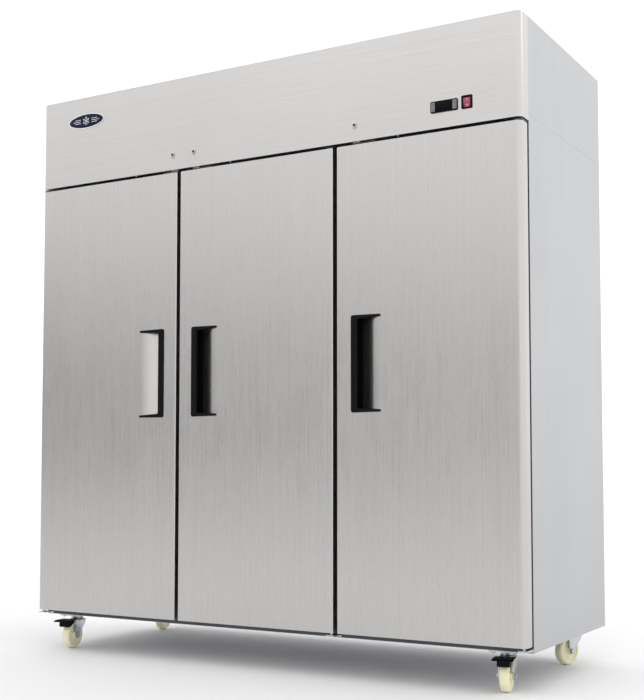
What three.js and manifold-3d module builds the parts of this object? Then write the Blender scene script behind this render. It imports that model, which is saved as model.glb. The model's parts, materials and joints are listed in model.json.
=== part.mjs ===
// Three-door reach-in refrigerator with a top-mounted refrigeration unit, on four swivel casters.
// Millimetres. +Z is up, +X to the right, and the doors face -Y.
// The origin is on the floor, under the middle of the overall bounding box.
import * as THREE from "three";
import { mergeVertices } from "three/addons/utils/BufferGeometryUtils.js";
import Module from "manifold-3d";

const wasm = await Module();
wasm.setup();

// ---------------------------------------------------------------- driving dimensions
const WIDTH = 1975; // overall
const DEPTH = 800; // overall, from the frontmost button to the back panel
const HEIGHT = 2111; // floor to the top edge of the header
const PROUD = 5; // how far the controls stand out of the front plane
const CASTER_HEAD = 27; // caster wheel's top to the underside of the cabinet
const HEADER_HEIGHT = 335; // header panel above the doors
const HEADER_GAP = 11; // between the header and the tops of the doors
const SEAM_RISE = 21; // the side seam lies this far above the header's lower edge
const TOE = 22; // strip of cabinet seen below the doors
const DOOR_GAP = 15; // between neighbouring doors
const DOOR_PITCH = 325.5; // centre line of the cabinet to the middle of a door gap
const DOOR_THICK = 48;
const GASKET_GAP = 14; // back of the doors to the front of the cabinet
const BULLNOSE = 20; // radius of the outer vertical corners
const SHEET = 1.2; // stainless sheet
const WALL = 58; // insulated wall thickness
const MULLION = 70;
const MULLION_DEPTH = 60;
const FIT = 0.3; // assembly gap between mating pieces

const PIVOT_IN = 16; // hinge axis, in from the door's edge
const PIVOT_BACK = 20; // hinge axis, behind the door's front
const PIN_R = 4;

const HANDLE_IN = 55; // free edge of the door to the handle
const HANDLE_WIDTH = 109;
const HANDLE_LOW = 873; // bottom of the handle, above the floor
const HANDLE_HEIGHT = 322;
const HANDLE_BAR = 23;
const POCKET_DEPTH = 38;

const LOCK_RISE = 55; // locks above the header's lower edge
const LOCK_IN = { left: 20, middle: 59, right: 69 }; // locks in from the doors' free edges
const CAM_LENGTH = 76;

// Middles of the controller and the switch: in from the right side, above the header's lower edge.
const CONTROL_IN = 259.5, CONTROL_RISE = 69.5, CONTROL_W = 94, CONTROL_H = 37;
const SWITCH_IN = 181, SWITCH_RISE = 71, SWITCH_W = 37, SWITCH_H = 43;

const SHELF_COUNT = 3; // in each bay, evenly spaced
const EVAPORATOR_HEIGHT = 168;
const EVAPORATOR_SIDE = 40.5; // evaporator to the mullions' sides

const WHEEL_R = 50;
const TREAD = 32;
const TRAIL = 32; // wheel centre ahead of the swivel axis
// Swivel axes, in from the sides, and in from the front plane or from the back.
const CASTER_SIDE = { front: 102.5, rear: 87.5 };
const CASTER_IN = { front: 112, rear: 100 };
const CASTER_TURN = { front_left: 7, front_right: 11, rear_left: 10, rear_right: -22 }; // degrees

// ---------------------------------------------------------------- derived planes
const XO = WIDTH / 2;
const FRONT = -DEPTH / 2 + PROUD; // front plane of doors and header
const BACK = DEPTH / 2;
const FRAME_BACK = DOOR_THICK + GASKET_GAP;
const CAB = FRONT + FRAME_BACK; // front plane of the cabinet
const BASE = 2 * WHEEL_R + CASTER_HEAD; // underside of the cabinet
const HEADER_Z = HEIGHT - HEADER_HEIGHT;
const SEAM = HEADER_Z + SEAM_RISE;
const DOOR_TOP = HEADER_Z - HEADER_GAP;
const DOOR_LOW = BASE + TOE;
const EDGE_IN = DOOR_PITCH - DOOR_GAP / 2; // free edges of the doors
const EDGE_OUT = DOOR_PITCH + DOOR_GAP / 2;
const INSIDE_X = XO - SHEET - FIT - WALL; // half width of the cavity in the insulation
const CAVITY_LOW = BASE + 2 + WALL;
const CAVITY_TOP = SEAM - FIT - WALL - 12;
const CAVITY_BACK = BACK - SHEET - 2 * FIT - WALL;
const FRAME_DEPTH = 20;
const LOCK_Z = HEADER_Z + LOCK_RISE;
const LOCK_X = [-EDGE_OUT - LOCK_IN.left, -EDGE_IN + LOCK_IN.middle, EDGE_OUT + LOCK_IN.right];
const CONTROL_X = XO - CONTROL_IN, CONTROL_Z = HEADER_Z + CONTROL_RISE;
const SWITCH_X = XO - SWITCH_IN, SWITCH_Z = HEADER_Z + SWITCH_RISE;
const casterPlace = (key) => {
  const [end, side] = key.split("_");
  return [(side === "left" ? -1 : 1) * (XO - CASTER_SIDE[end]), end === "front" ? FRONT + CASTER_IN.front : BACK - CASTER_IN.rear];
};

// ---------------------------------------------------------------- materials
const steel = (color, roughness) => new THREE.MeshStandardMaterial({ color, roughness, metalness: 1 });
const plain = (color, roughness) => new THREE.MeshStandardMaterial({ color, roughness, metalness: 0 });
const BRUSHED = steel(0xb4b1ad, 0.34);
const HEADER_STEEL = steel(0xcbc9c7, 0.3);
const SIDE_STEEL = steel(0xc8cacc, 0.42);
const INNER_STEEL = steel(0xc2c4c6, 0.28);
const ZINC = steel(0xd2d3d6, 0.3);
const CAST = steel(0x55585c, 0.5);
const BLACK = plain(0x121113, 0.45);
const GASKET = plain(0x161617, 0.7);
const FRAME_DARK = plain(0x4a4d57, 0.5);
const FOAM = plain(0xdcc98e, 0.9);
const LINER = plain(0xd9d9d6, 0.4);
const WIRE = plain(0xe4e4df, 0.45);
const NYLON = plain(0xe6e2c0, 0.5);
const ROCKER_RED = plain(0xc2405a, 0.3);
const SILVER = plain(0xa9abb0, 0.4);
const PAINT = plain(0x17181a, 0.4);
const ALUMINIUM = steel(0xc6c8ca, 0.45);
const FAN_PLASTIC = plain(0x2a2c2f, 0.5);

// ---------------------------------------------------------------- solids
function solid(geometry) {
  const g = geometry.index ? geometry.toNonIndexed() : geometry.clone();
  g.deleteAttribute("normal");
  g.deleteAttribute("uv");
  const m = mergeVertices(g, 1e-4);
  return new wasm.Manifold(
    new wasm.Mesh({
      numProp: 3,
      vertProperties: new Float32Array(m.attributes.position.array),
      triVerts: new Uint32Array(m.index.array),
    }),
  );
}

function geometryOf(s) {
  const m = s.getMesh();
  const g = new THREE.BufferGeometry();
  const p = new Float32Array(m.numVert * 3);
  for (let i = 0; i < m.numVert; i++)
    for (let k = 0; k < 3; k++) p[i * 3 + k] = m.vertProperties[i * m.numProp + k];
  g.setAttribute("position", new THREE.BufferAttribute(p, 3));
  g.setIndex(new THREE.BufferAttribute(new Uint32Array(m.triVerts), 1));
  g.computeVertexNormals();
  return g;
}

const part = new THREE.Group();
part.name = "reach_in_refrigerator";

function add(name, s, material, parent = part) {
  const mesh = new THREE.Mesh(geometryOf(s), material);
  mesh.name = name;
  parent.add(mesh);
  return mesh;
}

// Box between two corners.
function box(x0, x1, y0, y1, z0, z1) {
  const g = new THREE.BoxGeometry(Math.abs(x1 - x0), Math.abs(y1 - y0), Math.abs(z1 - z0));
  g.translate((x0 + x1) / 2, (y0 + y1) / 2, (z0 + z1) / 2);
  return solid(g);
}

// Outline given in X and Y, standing along Z.
function standing(points, z0, z1) {
  const shape = Array.isArray(points) ? new THREE.Shape(points.map(([a, b]) => new THREE.Vector2(a, b))) : points;
  const g = new THREE.ExtrudeGeometry(shape, { depth: z1 - z0, bevelEnabled: false, curveSegments: 6 });
  g.translate(0, 0, z0);
  return solid(g);
}

// Outline given in X and Z, reaching back along Y.
function reaching(shape, y0, y1, segments = 5) {
  const g = new THREE.ExtrudeGeometry(shape, { depth: y1 - y0, bevelEnabled: false, curveSegments: segments });
  g.rotateX(Math.PI / 2);
  g.translate(0, y1, 0);
  return solid(g);
}

// Outline given in Y and Z, running along X.
function across(points, x0, x1) {
  const shape = new THREE.Shape(points.map(([a, b]) => new THREE.Vector2(a, b)));
  const g = new THREE.ExtrudeGeometry(shape, { depth: x1 - x0, bevelEnabled: false });
  g.applyMatrix4(new THREE.Matrix4().set(0, 0, 1, x0, 1, 0, 0, 0, 0, 1, 0, 0, 0, 0, 0, 1));
  return solid(g);
}

// Cylinder along an axis between two values.
function rod(axis, a, b, r, from, to, n = 20) {
  const g = new THREE.CylinderGeometry(r, r, to - from, n);
  if (axis === "x") g.rotateZ(-Math.PI / 2).translate((from + to) / 2, a, b);
  if (axis === "y") g.translate(a, (from + to) / 2, b);
  if (axis === "z") g.rotateX(Math.PI / 2).translate(a, b, (from + to) / 2);
  return solid(g);
}

// Closed profile of [radius, height] points turned about Z.
function turned(points, n) {
  const closed = [...points, points[0]];
  return solid(new THREE.LatheGeometry(closed.map(([r, h]) => new THREE.Vector2(r, h)), n).rotateX(Math.PI / 2));
}

const join = (...list) => list.reduce((a, b) => a.add(b));
const cut = (a, ...list) => list.reduce((s, b) => s.subtract(b), a);

function roundedRect(x0, x1, z0, z1, r) {
  const s = new THREE.Shape();
  s.moveTo(x0 + r, z0);
  s.lineTo(x1 - r, z0).absarc(x1 - r, z0 + r, r, -Math.PI / 2, 0, false);
  s.lineTo(x1, z1 - r).absarc(x1 - r, z1 - r, r, 0, Math.PI / 2, false);
  s.lineTo(x0 + r, z1).absarc(x0 + r, z1 - r, r, Math.PI / 2, Math.PI, false);
  s.lineTo(x0, z0 + r).absarc(x0 + r, z0 + r, r, Math.PI, 1.5 * Math.PI, false);
  return s;
}

// Plan outline with a rounded front corner at each end: radii rl and rr, straight back edge.
function planOutline(x0, x1, y0, y1, rl, rr) {
  const s = new THREE.Shape();
  s.moveTo(x0, y1);
  s.lineTo(x0, y0 + rl);
  s.absarc(x0 + rl, y0 + rl, rl, Math.PI, 1.5 * Math.PI, false);
  s.lineTo(x1 - rr, y0);
  s.absarc(x1 - rr, y0 + rr, rr, 1.5 * Math.PI, 2 * Math.PI, false);
  s.lineTo(x1, y1);
  return s;
}

// Folded tray open at the back, with rounded front corners.
function tray(x0, x1, y0, y1, z0, z1, rl, rr, t) {
  const outer = standing(planOutline(x0, x1, y0, y1, rl, rr), z0, z1);
  const inner = standing(
    planOutline(x0 + t, x1 - t, y0 + t, y1 + 5, Math.max(rl - t, 0.6), Math.max(rr - t, 0.6)), z0 + t, z1 - t);
  return outer.subtract(inner);
}

// ---------------------------------------------------------------- cabinet shell
const shellBack = BACK - SHEET - FIT;
add("side_panel_left", box(-XO, -XO + SHEET, CAB, BACK, BASE, SEAM), SIDE_STEEL);
add("side_panel_right", box(XO - SHEET, XO, CAB, BACK, BASE, SEAM), SIDE_STEEL);
add("back_panel", box(-XO + SHEET + FIT, XO - SHEET - FIT, BACK - SHEET, BACK, BASE + SHEET + FIT, SEAM), SIDE_STEEL);

// Base sheet with the four caster mounting plates and their kingpins.
{
  let s = box(-XO + SHEET + FIT, XO - SHEET - FIT, CAB, BACK, BASE, BASE + SHEET);
  for (const key of Object.keys(CASTER_TURN)) {
    const [x, y] = casterPlace(key);
    s = join(s, box(x - 48, x + 48, y - 44, y + 44, BASE - 5, BASE + 0.5),
      rod("z", x, y, 6, BASE - 23.5, BASE - 4, 12), rod("z", x, y, 9, BASE - 26, BASE - 23.2, 12));
  }
  add("base_panel", s, ZINC);
}

// Foam body with one cavity, open at the front.
const foamFront = CAB + FRAME_DEPTH + FIT;
add("insulation",
  cut(box(-XO + SHEET + FIT, XO - SHEET - FIT, foamFront, shellBack, BASE + SHEET + FIT, SEAM - FIT),
    box(-INSIDE_X, INSIDE_X, foamFront - 5, CAVITY_BACK, CAVITY_LOW, CAVITY_TOP)), FOAM);

// Interior liner with shelf pilasters and ledges.
const linerX = INSIDE_X - FIT, linerBack = CAVITY_BACK - FIT, linerLow = CAVITY_LOW + FIT, linerTop = CAVITY_TOP - FIT;
const PILASTER_FRONT = CAB + 105, PILASTER_REAR = linerBack - 95;
const EV_LOW = linerTop - SHEET - EVAPORATOR_HEIGHT;
const SHELF_LEVELS = [];
for (let i = 1; i <= SHELF_COUNT; i++)
  SHELF_LEVELS.push(linerLow + (i * (EV_LOW - linerLow)) / (SHELF_COUNT + 1));
{
  let s = cut(box(-linerX, linerX, foamFront, linerBack, linerLow, linerTop),
    box(-linerX + SHEET, linerX - SHEET, foamFront - 5, linerBack - SHEET, linerLow + SHEET, linerTop - SHEET));
  const wall = linerX - SHEET;
  for (const sx of [-1, 1]) {
    for (const y of [PILASTER_FRONT, PILASTER_REAR]) {
      const at = (d) => sx * (wall - d);
      s = s.add(box(at(-0.5), at(9), y - 12, y + 12, linerLow + 25, linerTop - 25));
      for (const z of SHELF_LEVELS) s = s.add(box(at(8), at(26), y - 9, y + 9, z - 9, z - 6));
    }
    const x = sx * DOOR_PITCH;
    s = s.add(box(x - 14, x + 14, linerBack - SHEET - 9, linerBack - SHEET + 0.5, linerLow + 25, linerTop - 25));
    for (const z of SHELF_LEVELS) s = s.add(box(x - 24, x + 24, linerBack - SHEET - 26, linerBack - SHEET - 8, z - 9, z - 6));
  }
  add("inner_liner", s, INNER_STEEL);
}

// Face frame round the openings, with two mullions, their rear pilasters and the top hinge pins.
const hingeX = { left: -(XO - PIVOT_IN), middle: EDGE_IN - PIVOT_IN, right: XO - PIVOT_IN };
{
  const fx = XO - SHEET - FIT, z0 = BASE + SHEET + FIT, z1 = HEADER_Z - FIT;
  const bays = [[-INSIDE_X, -DOOR_PITCH - MULLION / 2], [-DOOR_PITCH + MULLION / 2, DOOR_PITCH - MULLION / 2], [DOOR_PITCH + MULLION / 2, INSIDE_X]];
  const deep = (x, grow) => box(x - MULLION / 2 + grow, x + MULLION / 2 - grow, CAB + grow, CAB + MULLION_DEPTH - grow,
    linerLow + SHEET + FIT + grow, linerTop - SHEET - FIT - grow);
  let s = box(-fx, fx, CAB, CAB + FRAME_DEPTH, z0, z1);
  let hollow = box(-fx + SHEET, fx - SHEET, CAB + SHEET, CAB + FRAME_DEPTH + 5, z0 + SHEET, z1 - SHEET);
  for (const [a, b] of bays) {
    s = s.subtract(box(a, b, CAB - 5, CAB + FRAME_DEPTH + 5, CAVITY_LOW, CAVITY_TOP));
    hollow = hollow.subtract(box(a - SHEET, b + SHEET, CAB - 5, CAB + FRAME_DEPTH + 9, CAVITY_LOW - SHEET, CAVITY_TOP + SHEET));
  }
  for (const x of [-DOOR_PITCH, DOOR_PITCH]) {
    s = s.add(deep(x, 0));
    s = s.add(box(x - 14, x + 14, CAB + MULLION_DEPTH - 0.5, CAB + MULLION_DEPTH + 9, linerLow + 25, linerTop - 25));
    for (const z of SHELF_LEVELS) s = s.add(box(x - 24, x + 24, CAB + MULLION_DEPTH + 8, CAB + MULLION_DEPTH + 26, z - 9, z - 6));
  }
  // The mullions' hollow opens into the ring's channel only through the front 20 mm, so it is not sealed.
  for (const x of [-DOOR_PITCH, DOOR_PITCH]) {
    hollow = hollow.subtract(box(x - MULLION / 2, x + MULLION / 2, CAB + FRAME_DEPTH - SHEET, CAB + FRAME_DEPTH + 9, linerLow, linerTop));
    hollow = hollow.add(deep(x, SHEET + 0.6));
  }
  s = s.subtract(hollow);
  const plateZ = DOOR_TOP + 4;
  for (const key of ["left", "middle", "right"]) {
    const x = hingeX[key];
    s = join(s, box(x - 13, x + 13, FRONT + 9, CAB + 0.6, plateZ, plateZ + 3.6), rod("z", x, FRONT + PIVOT_BACK, PIN_R, DOOR_TOP - 12, plateZ + 1, 16));
  }
  add("front_frame", s, FRAME_DARK);
}

// Bottom hinge brackets.
for (const key of ["left", "middle", "right"]) {
  const x = hingeX[key], plate = DOOR_LOW - 8;
  add("hinge_bottom_" + key,
    join(box(x - 15, x + 15, FRONT + 7, CAB - FIT, plate, plate + 4), box(x - 15, x + 15, CAB - 3.3, CAB - FIT, BASE + 3, plate + 1),
      rod("z", x, FRONT + PIVOT_BACK, PIN_R, plate + 3, DOOR_LOW + 12, 16)), ZINC);
}

// ---------------------------------------------------------------- header
const lockSide = [-1, 1, 1]; // the way each lock's cam lies when it is open
const cx0 = CONTROL_X - CONTROL_W / 2 + 3, cx1 = CONTROL_X + CONTROL_W / 2 - 3;
{
  let s = tray(-XO, XO, FRONT, CAB - FIT, HEADER_Z, HEIGHT, BULLNOSE, BULLNOSE, SHEET);
  // Open most of the top, leaving a folded lip.
  s = s.subtract(box(-XO + 30, XO - 30, FRONT + 26, CAB + 5, HEIGHT - 10, HEIGHT + 5));
  s = cut(s, box(cx0 - FIT, cx1 + FIT, FRONT - 5, FRONT + 5, CONTROL_Z - 15.3, CONTROL_Z + 15.3),
    box(SWITCH_X - 14.3, SWITCH_X + 14.3, FRONT - 5, FRONT + 5, SWITCH_Z - 19.3, SWITCH_Z + 19.3));
  LOCK_X.forEach((x, i) => {
    const d = lockSide[i];
    s = s.add(reaching(roundedRect(x - 8, x + 8, LOCK_Z - 13, LOCK_Z + 11, 5), FRONT - 2, FRONT + 0.6, 2));
    s = s.subtract(rod("y", x, LOCK_Z, 6.4, FRONT - 5, FRONT + 5, 14));
    s = s.subtract(box(x - d * 8, x + d * 62, FRONT + 21, FRONT + 29.5, HEADER_Z - 5, HEADER_Z + 5));
  });
  add("header_panel", s, HEADER_STEEL);
}
add("header_side_left", box(-XO, -XO + SHEET, CAB, BACK, SEAM + FIT, HEIGHT), SIDE_STEEL);
add("header_side_right", box(XO - SHEET, XO, CAB, BACK, SEAM + FIT, HEIGHT), SIDE_STEEL);

// Door locks: plug with a long cam behind the header.
LOCK_X.forEach((x, i) => {
  const d = lockSide[i];
  const cam = reaching(roundedRect(Math.min(x - d * 6, x + d * CAM_LENGTH), Math.max(x - d * 6, x + d * CAM_LENGTH), LOCK_Z - 6, LOCK_Z + 6, 5), FRONT + 24, FRONT + 26.5, 2);
  add("lock_" + ["left", "middle", "right"][i], join(rod("y", x, LOCK_Z, 6, FRONT - 3.5, FRONT + 28, 14), cam), ZINC);
});

// Temperature controller.
const BUTTONS = [["up", -1, 1], ["down", -1, -1], ["set", 1, 1], ["light", 1, -1]];
{
  let s = join(
    reaching(roundedRect(CONTROL_X - CONTROL_W / 2, CONTROL_X + CONTROL_W / 2, CONTROL_Z - CONTROL_H / 2, CONTROL_Z + CONTROL_H / 2, 3), FRONT - 4, FRONT - FIT, 3),
    box(cx0, cx1, FRONT - 1, FRONT + 55, CONTROL_Z - 15, CONTROL_Z + 15));
  s = s.subtract(box(CONTROL_X - 29, CONTROL_X + 29, FRONT - 8, FRONT - 3.2, CONTROL_Z - 13.5, CONTROL_Z + 13.5));
  for (const [, sx, sz] of BUTTONS)
    s = s.subtract(box(CONTROL_X + sx * 33, CONTROL_X + sx * 43, FRONT - 8, FRONT + 1.5, CONTROL_Z + sz * 2, CONTROL_Z + sz * 14));
  add("controller", s, BLACK);
  for (const [name, sx, sz] of BUTTONS)
    add("button_" + name, box(CONTROL_X + sx * 33.4, CONTROL_X + sx * 42.6, FRONT - 5, FRONT + 0.2, CONTROL_Z + sz * 2.4, CONTROL_Z + sz * 13.6), SILVER);
}

// Power switch: housing and rocker.
{
  let s = join(
    reaching(roundedRect(SWITCH_X - SWITCH_W / 2, SWITCH_X + SWITCH_W / 2, SWITCH_Z - SWITCH_H / 2, SWITCH_Z + SWITCH_H / 2, 3), FRONT - 2.5, FRONT - FIT, 3),
    box(SWITCH_X - 14, SWITCH_X + 14, FRONT - 1, FRONT + 28, SWITCH_Z - 19, SWITCH_Z + 19));
  s = s.subtract(box(SWITCH_X - 12, SWITCH_X + 12, FRONT - 8, FRONT + 16, SWITCH_Z - 17, SWITCH_Z + 17));
  add("switch_housing", s, BLACK);
  const pivot = new THREE.Group();
  pivot.position.set(SWITCH_X, FRONT + 6, SWITCH_Z);
  pivot.rotation.x = THREE.MathUtils.degToRad(8);
  part.add(pivot);
  add("switch_rocker", across([[-5.5, -15], [-8.3, 0], [-5.5, 15], [2.5, 15], [5, 6], [5, -6], [2.5, -15]].reverse(), -11.6, 11.6), ROCKER_RED, pivot);
}

// ---------------------------------------------------------------- doors
// Each door is described from its free edge: u runs from the free edge to the hinge edge.
const DOORS = {
  left: { free: -EDGE_OUT, hinge: -XO, lock: 0 },
  middle: { free: -EDGE_IN, hinge: EDGE_IN, lock: 1 },
  right: { free: EDGE_OUT, hinge: XO, lock: 2 },
};
const HZ0 = HANDLE_LOW, HZ1 = HANDLE_LOW + HANDLE_HEIGHT;
const H0 = HANDLE_IN, H1 = HANDLE_IN + HANDLE_WIDTH;
// The recess floor, from its deep end by the bar to the door's face at the hinge side.
const rampAt = (n) => {
  const p = [];
  for (let i = 0; i <= n; i++) {
    const t = i / n, u = H0 + 20 + t * (HANDLE_WIDTH - 20);
    p.push([u, POCKET_DEPTH * (0.5 + 0.5 * Math.cos(Math.PI * Math.pow(t, 0.85)))]);
  }
  return p;
};
for (const [key, d] of Object.entries(DOORS)) {
  const dir = Math.sign(d.hinge - d.free);
  const X = (u) => d.free + dir * u;
  const ubox = (u0, u1, y0, y1, z0, z1) => box(Math.min(X(u0), X(u1)), Math.max(X(u0), X(u1)), FRONT + y0, FRONT + y1, z0, z1);
  const uplan = (pts, z0, z1) => {
    const q = pts.map(([u, y]) => [X(u), FRONT + y]);
    return standing(dir < 0 ? q.reverse() : q, z0, z1);
  };
  const w = Math.abs(d.hinge - d.free);
  const x0 = Math.min(d.free, d.hinge), x1 = Math.max(d.free, d.hinge);
  const nose = (x) => (Math.abs(x) > XO - 1 ? BULLNOSE : 3);
  const lx = LOCK_X[d.lock], ld = lockSide[d.lock];

  // Outer pan with the handle recess.
  const ramp = rampAt(8);
  let skin = tray(x0, x1, FRONT, FRONT + DOOR_THICK, DOOR_LOW, DOOR_TOP, nose(x0), nose(x1), SHEET);
  skin = skin.subtract(ubox(H0 + 2, H1 - 1, -5, 5, HZ0 + 2, HZ1 - 2));
  const floorLine = [[H0 + 3, POCKET_DEPTH], ...ramp];
  const sheetPts = [...floorLine.slice(0, -1), [H1, 0], [H1, SHEET], ...floorLine.slice(0, -1).reverse().map(([u, y]) => [u, y + SHEET])];
  skin = skin.add(uplan(sheetPts, HZ0 + 1, HZ1 - 1));
  skin = cut(skin, rod("z", hingeX[key], FRONT + PIVOT_BACK, PIN_R + 0.5, DOOR_LOW - 5, DOOR_LOW + 5, 16),
    rod("z", hingeX[key], FRONT + PIVOT_BACK, PIN_R + 0.5, DOOR_TOP - 5, DOOR_TOP + 5, 16),
    box(lx - ld * 8, lx + ld * 45, FRONT + 21, FRONT + 29.5, DOOR_TOP - 5, DOOR_TOP + 5));
  add("door_" + key + "_skin", skin, BRUSHED);

  // Inner pan: flat rim for the gasket, recessed centre, raised block behind the handle.
  const a = SHEET + 0.4, back = DOOR_THICK, fore = 30, rim = 74, t = 1.4;
  const hz = (g) => ubox(30 + g, H1 + 14 - g, -5, back + 20, HZ0 - 14 + g, HZ1 + 14 - g);
  let liner = ubox(a, w - a, fore, back, DOOR_LOW + a, DOOR_TOP - a);
  liner = liner.subtract(ubox(rim, w - rim, fore + t, back + 5, DOOR_LOW + rim, DOOR_TOP - rim).subtract(hz(0)));
  const core = ubox(rim - t, w - rim + t, fore - 5, back + 5, DOOR_LOW + rim - t, DOOR_TOP - rim + t).subtract(hz(t));
  liner = liner.subtract(ubox(a + t, w - a - t, fore - 3, back - t, DOOR_LOW + a + t, DOOR_TOP - a - t).subtract(core));
  add("door_" + key + "_liner", liner, LINER);

  // Magnetic gasket.
  const g0 = 14, g1 = w - PIVOT_IN - 2, gy0 = DOOR_THICK + FIT, gy1 = FRAME_BACK - FIT, gw = 14;
  add("door_" + key + "_gasket",
    cut(ubox(g0, g1, gy0, gy1, DOOR_LOW + 14, DOOR_TOP - 14), ubox(g0 + gw, g1 - gw, gy0 - 5, gy1 + 5, DOOR_LOW + 14 + gw, DOOR_TOP - 14 - gw)), GASKET);

  // Moulded pull: bar, tapered arms and the pocket's inner walls.
  const C = new THREE.Shape();
  const r = 7, lo = HZ0, hi = HZ1, q = (u, z) => [X(u), z];
  C.moveTo(...q(H0 + r, lo));
  C.lineTo(...q(H1, lo + 1.5));
  C.lineTo(...q(H1, lo + 9.5));
  C.lineTo(...q(H0 + HANDLE_BAR + 3, lo + 12));
  C.lineTo(...q(H0 + HANDLE_BAR, lo + 15));
  C.lineTo(...q(H0 + HANDLE_BAR, hi - 15));
  C.lineTo(...q(H0 + HANDLE_BAR + 3, hi - 12));
  C.lineTo(...q(H1, hi - 9.5));
  C.lineTo(...q(H1, hi - 1.5));
  C.lineTo(...q(H0 + r, hi));
  C.lineTo(...q(H0 + 2, hi - 2));
  C.lineTo(...q(H0, hi - r));
  C.lineTo(...q(H0, lo + r));
  C.lineTo(...q(H0 + 2, lo + 2));
  let pull = reaching(C, FRONT - 3, FRONT - FIT);
  pull = pull.add(ubox(H0 + 2 + FIT, H0 + HANDLE_BAR, -1, 5, HZ0 + 5, HZ1 - 5));
  const clearOf = ramp.map(([u, y]) => [u - 0.6, y - 0.5]);
  const wallPts = [[H0 + 2 + FIT, -1], [H1 - 3, -1], ...clearOf.filter(([u, y]) => u < H1 - 3 && y > 0).reverse(), [H0 + 5, POCKET_DEPTH - 0.5], [H0 + 2 + FIT, POCKET_DEPTH - 0.5]];
  pull = join(pull, uplan(wallPts, HZ0 + 2 + FIT, HZ0 + 5), uplan(wallPts, HZ1 - 5, HZ1 - 2 - FIT),
    ubox(H0 + 2 + FIT, H0 + 4.6, -1, POCKET_DEPTH - 0.5, HZ0 + 2 + FIT, HZ1 - 2 - FIT));
  pull = pull.subtract(ubox(H0 - 1, H0 + 2 + FIT, -FIT, 5, HZ0, HZ1));
  add("door_" + key + "_handle", pull, BLACK);
}

// ---------------------------------------------------------------- shelves
const BAYS = {
  left: [-(linerX - SHEET - 13), -DOOR_PITCH - 3],
  middle: [-DOOR_PITCH + 3, DOOR_PITCH - 3],
  right: [DOOR_PITCH + 3, linerX - SHEET - 13],
};
const shelfFront = CAB + MULLION_DEPTH + 12, shelfBack = linerBack - SHEET - 13;
for (const [key, [a, b]] of Object.entries(BAYS))
  SHELF_LEVELS.forEach((z, i) => {
    const lo = z - 6 + FIT, n = 6, bar = 6, gap = (b - a - bar * (n + 1)) / n;
    let s = box(a, b, shelfFront, shelfBack, lo, lo + 7);
    for (let k = 0; k < n; k++) {
      const x = a + bar + k * (gap + bar);
      s = s.subtract(box(x, x + gap, shelfFront + 7, shelfBack - 7, lo - 5, lo + 12));
    }
    add("shelf_" + key + "_" + (i + 1), s, WIRE);
  });

// ---------------------------------------------------------------- refrigeration unit
const trayZ = SEAM + FIT;
{
  const x = XO - SHEET - FIT, y0 = CAB + FIT, y1 = BACK - FIT;
  add("unit_tray", join(box(-x, x, y0, y1, trayZ, trayZ + 1.6), box(-x, -x + 1.6, y0, y1, trayZ, trayZ + 30),
    box(x - 1.6, x, y0, y1, trayZ, trayZ + 30), box(-x, x, y1 - 1.6, y1, trayZ, trayZ + 60)), ZINC);
}
const deck = trayZ + 1.6 + FIT;
{
  const cx = -420, cy = 60;
  const shell = turned([[0, 0], [82, 0], [95, 16], [96, 100], [84, 148], [52, 177], [0, 186]], 18);
  let s = shell.translate([cx, cy, deck + 16]);
  s = join(s, box(cx - 105, cx + 105, cy - 70, cy + 70, deck + 12, deck + 17), box(cx + 84, cx + 116, cy - 32, cy + 32, deck + 60, deck + 130),
    rod("z", cx - 60, cy + 100, 6, deck + 60, deck + 170, 10), rod("y", cx - 60, deck + 66, 6, cy + 40, cy + 102, 10),
    rod("z", cx + 20, cy - 104, 5, deck + 60, deck + 150, 10), rod("y", cx + 20, deck + 64, 5, cy - 106, cy - 40, 10));
  for (const sx of [-1, 1]) for (const sy of [-1, 1]) s = s.add(rod("z", cx + sx * 88, cy + sy * 55, 12, deck, deck + 22, 12));
  add("compressor", s, PAINT);
}
const FAN_X = 60, FAN_Z = deck + 138, FAN_R = 104;
{
  const cy = 120; // front face of the coil
  let s = cut(box(FAN_X - 200, FAN_X + 200, cy - 64, cy + 66, deck, deck + 272),
    box(FAN_X - 198, FAN_X + 198, cy - 62, cy, deck + 2, deck + 270));
  s = join(s, rod("y", FAN_X, FAN_Z, 116, cy - 84, cy - 63, 28));
  s = cut(s, rod("y", FAN_X, FAN_Z, 113, cy - 90, cy - 55, 28));
  s = join(s, rod("y", FAN_X, FAN_Z, 34, cy - 52, cy + 1, 16));
  add("condenser", s, ALUMINIUM);
  const g = new THREE.Group();
  g.position.set(FAN_X, cy - 72, FAN_Z);
  part.add(g);
  let f = join(rod("y", 0, 0, 26, -12, 12, 20));
  for (let k = 0; k < 5; k++) {
    const b = new THREE.BoxGeometry(44, 2.2, FAN_R - 18);
    b.rotateZ(0.5);
    b.translate(0, 0, (FAN_R + 18) / 2);
    b.rotateY((k * 2 * Math.PI) / 5);
    f = f.add(solid(b));
  }
  add("condenser_fan", f, FAN_PLASTIC, g);
}

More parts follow.
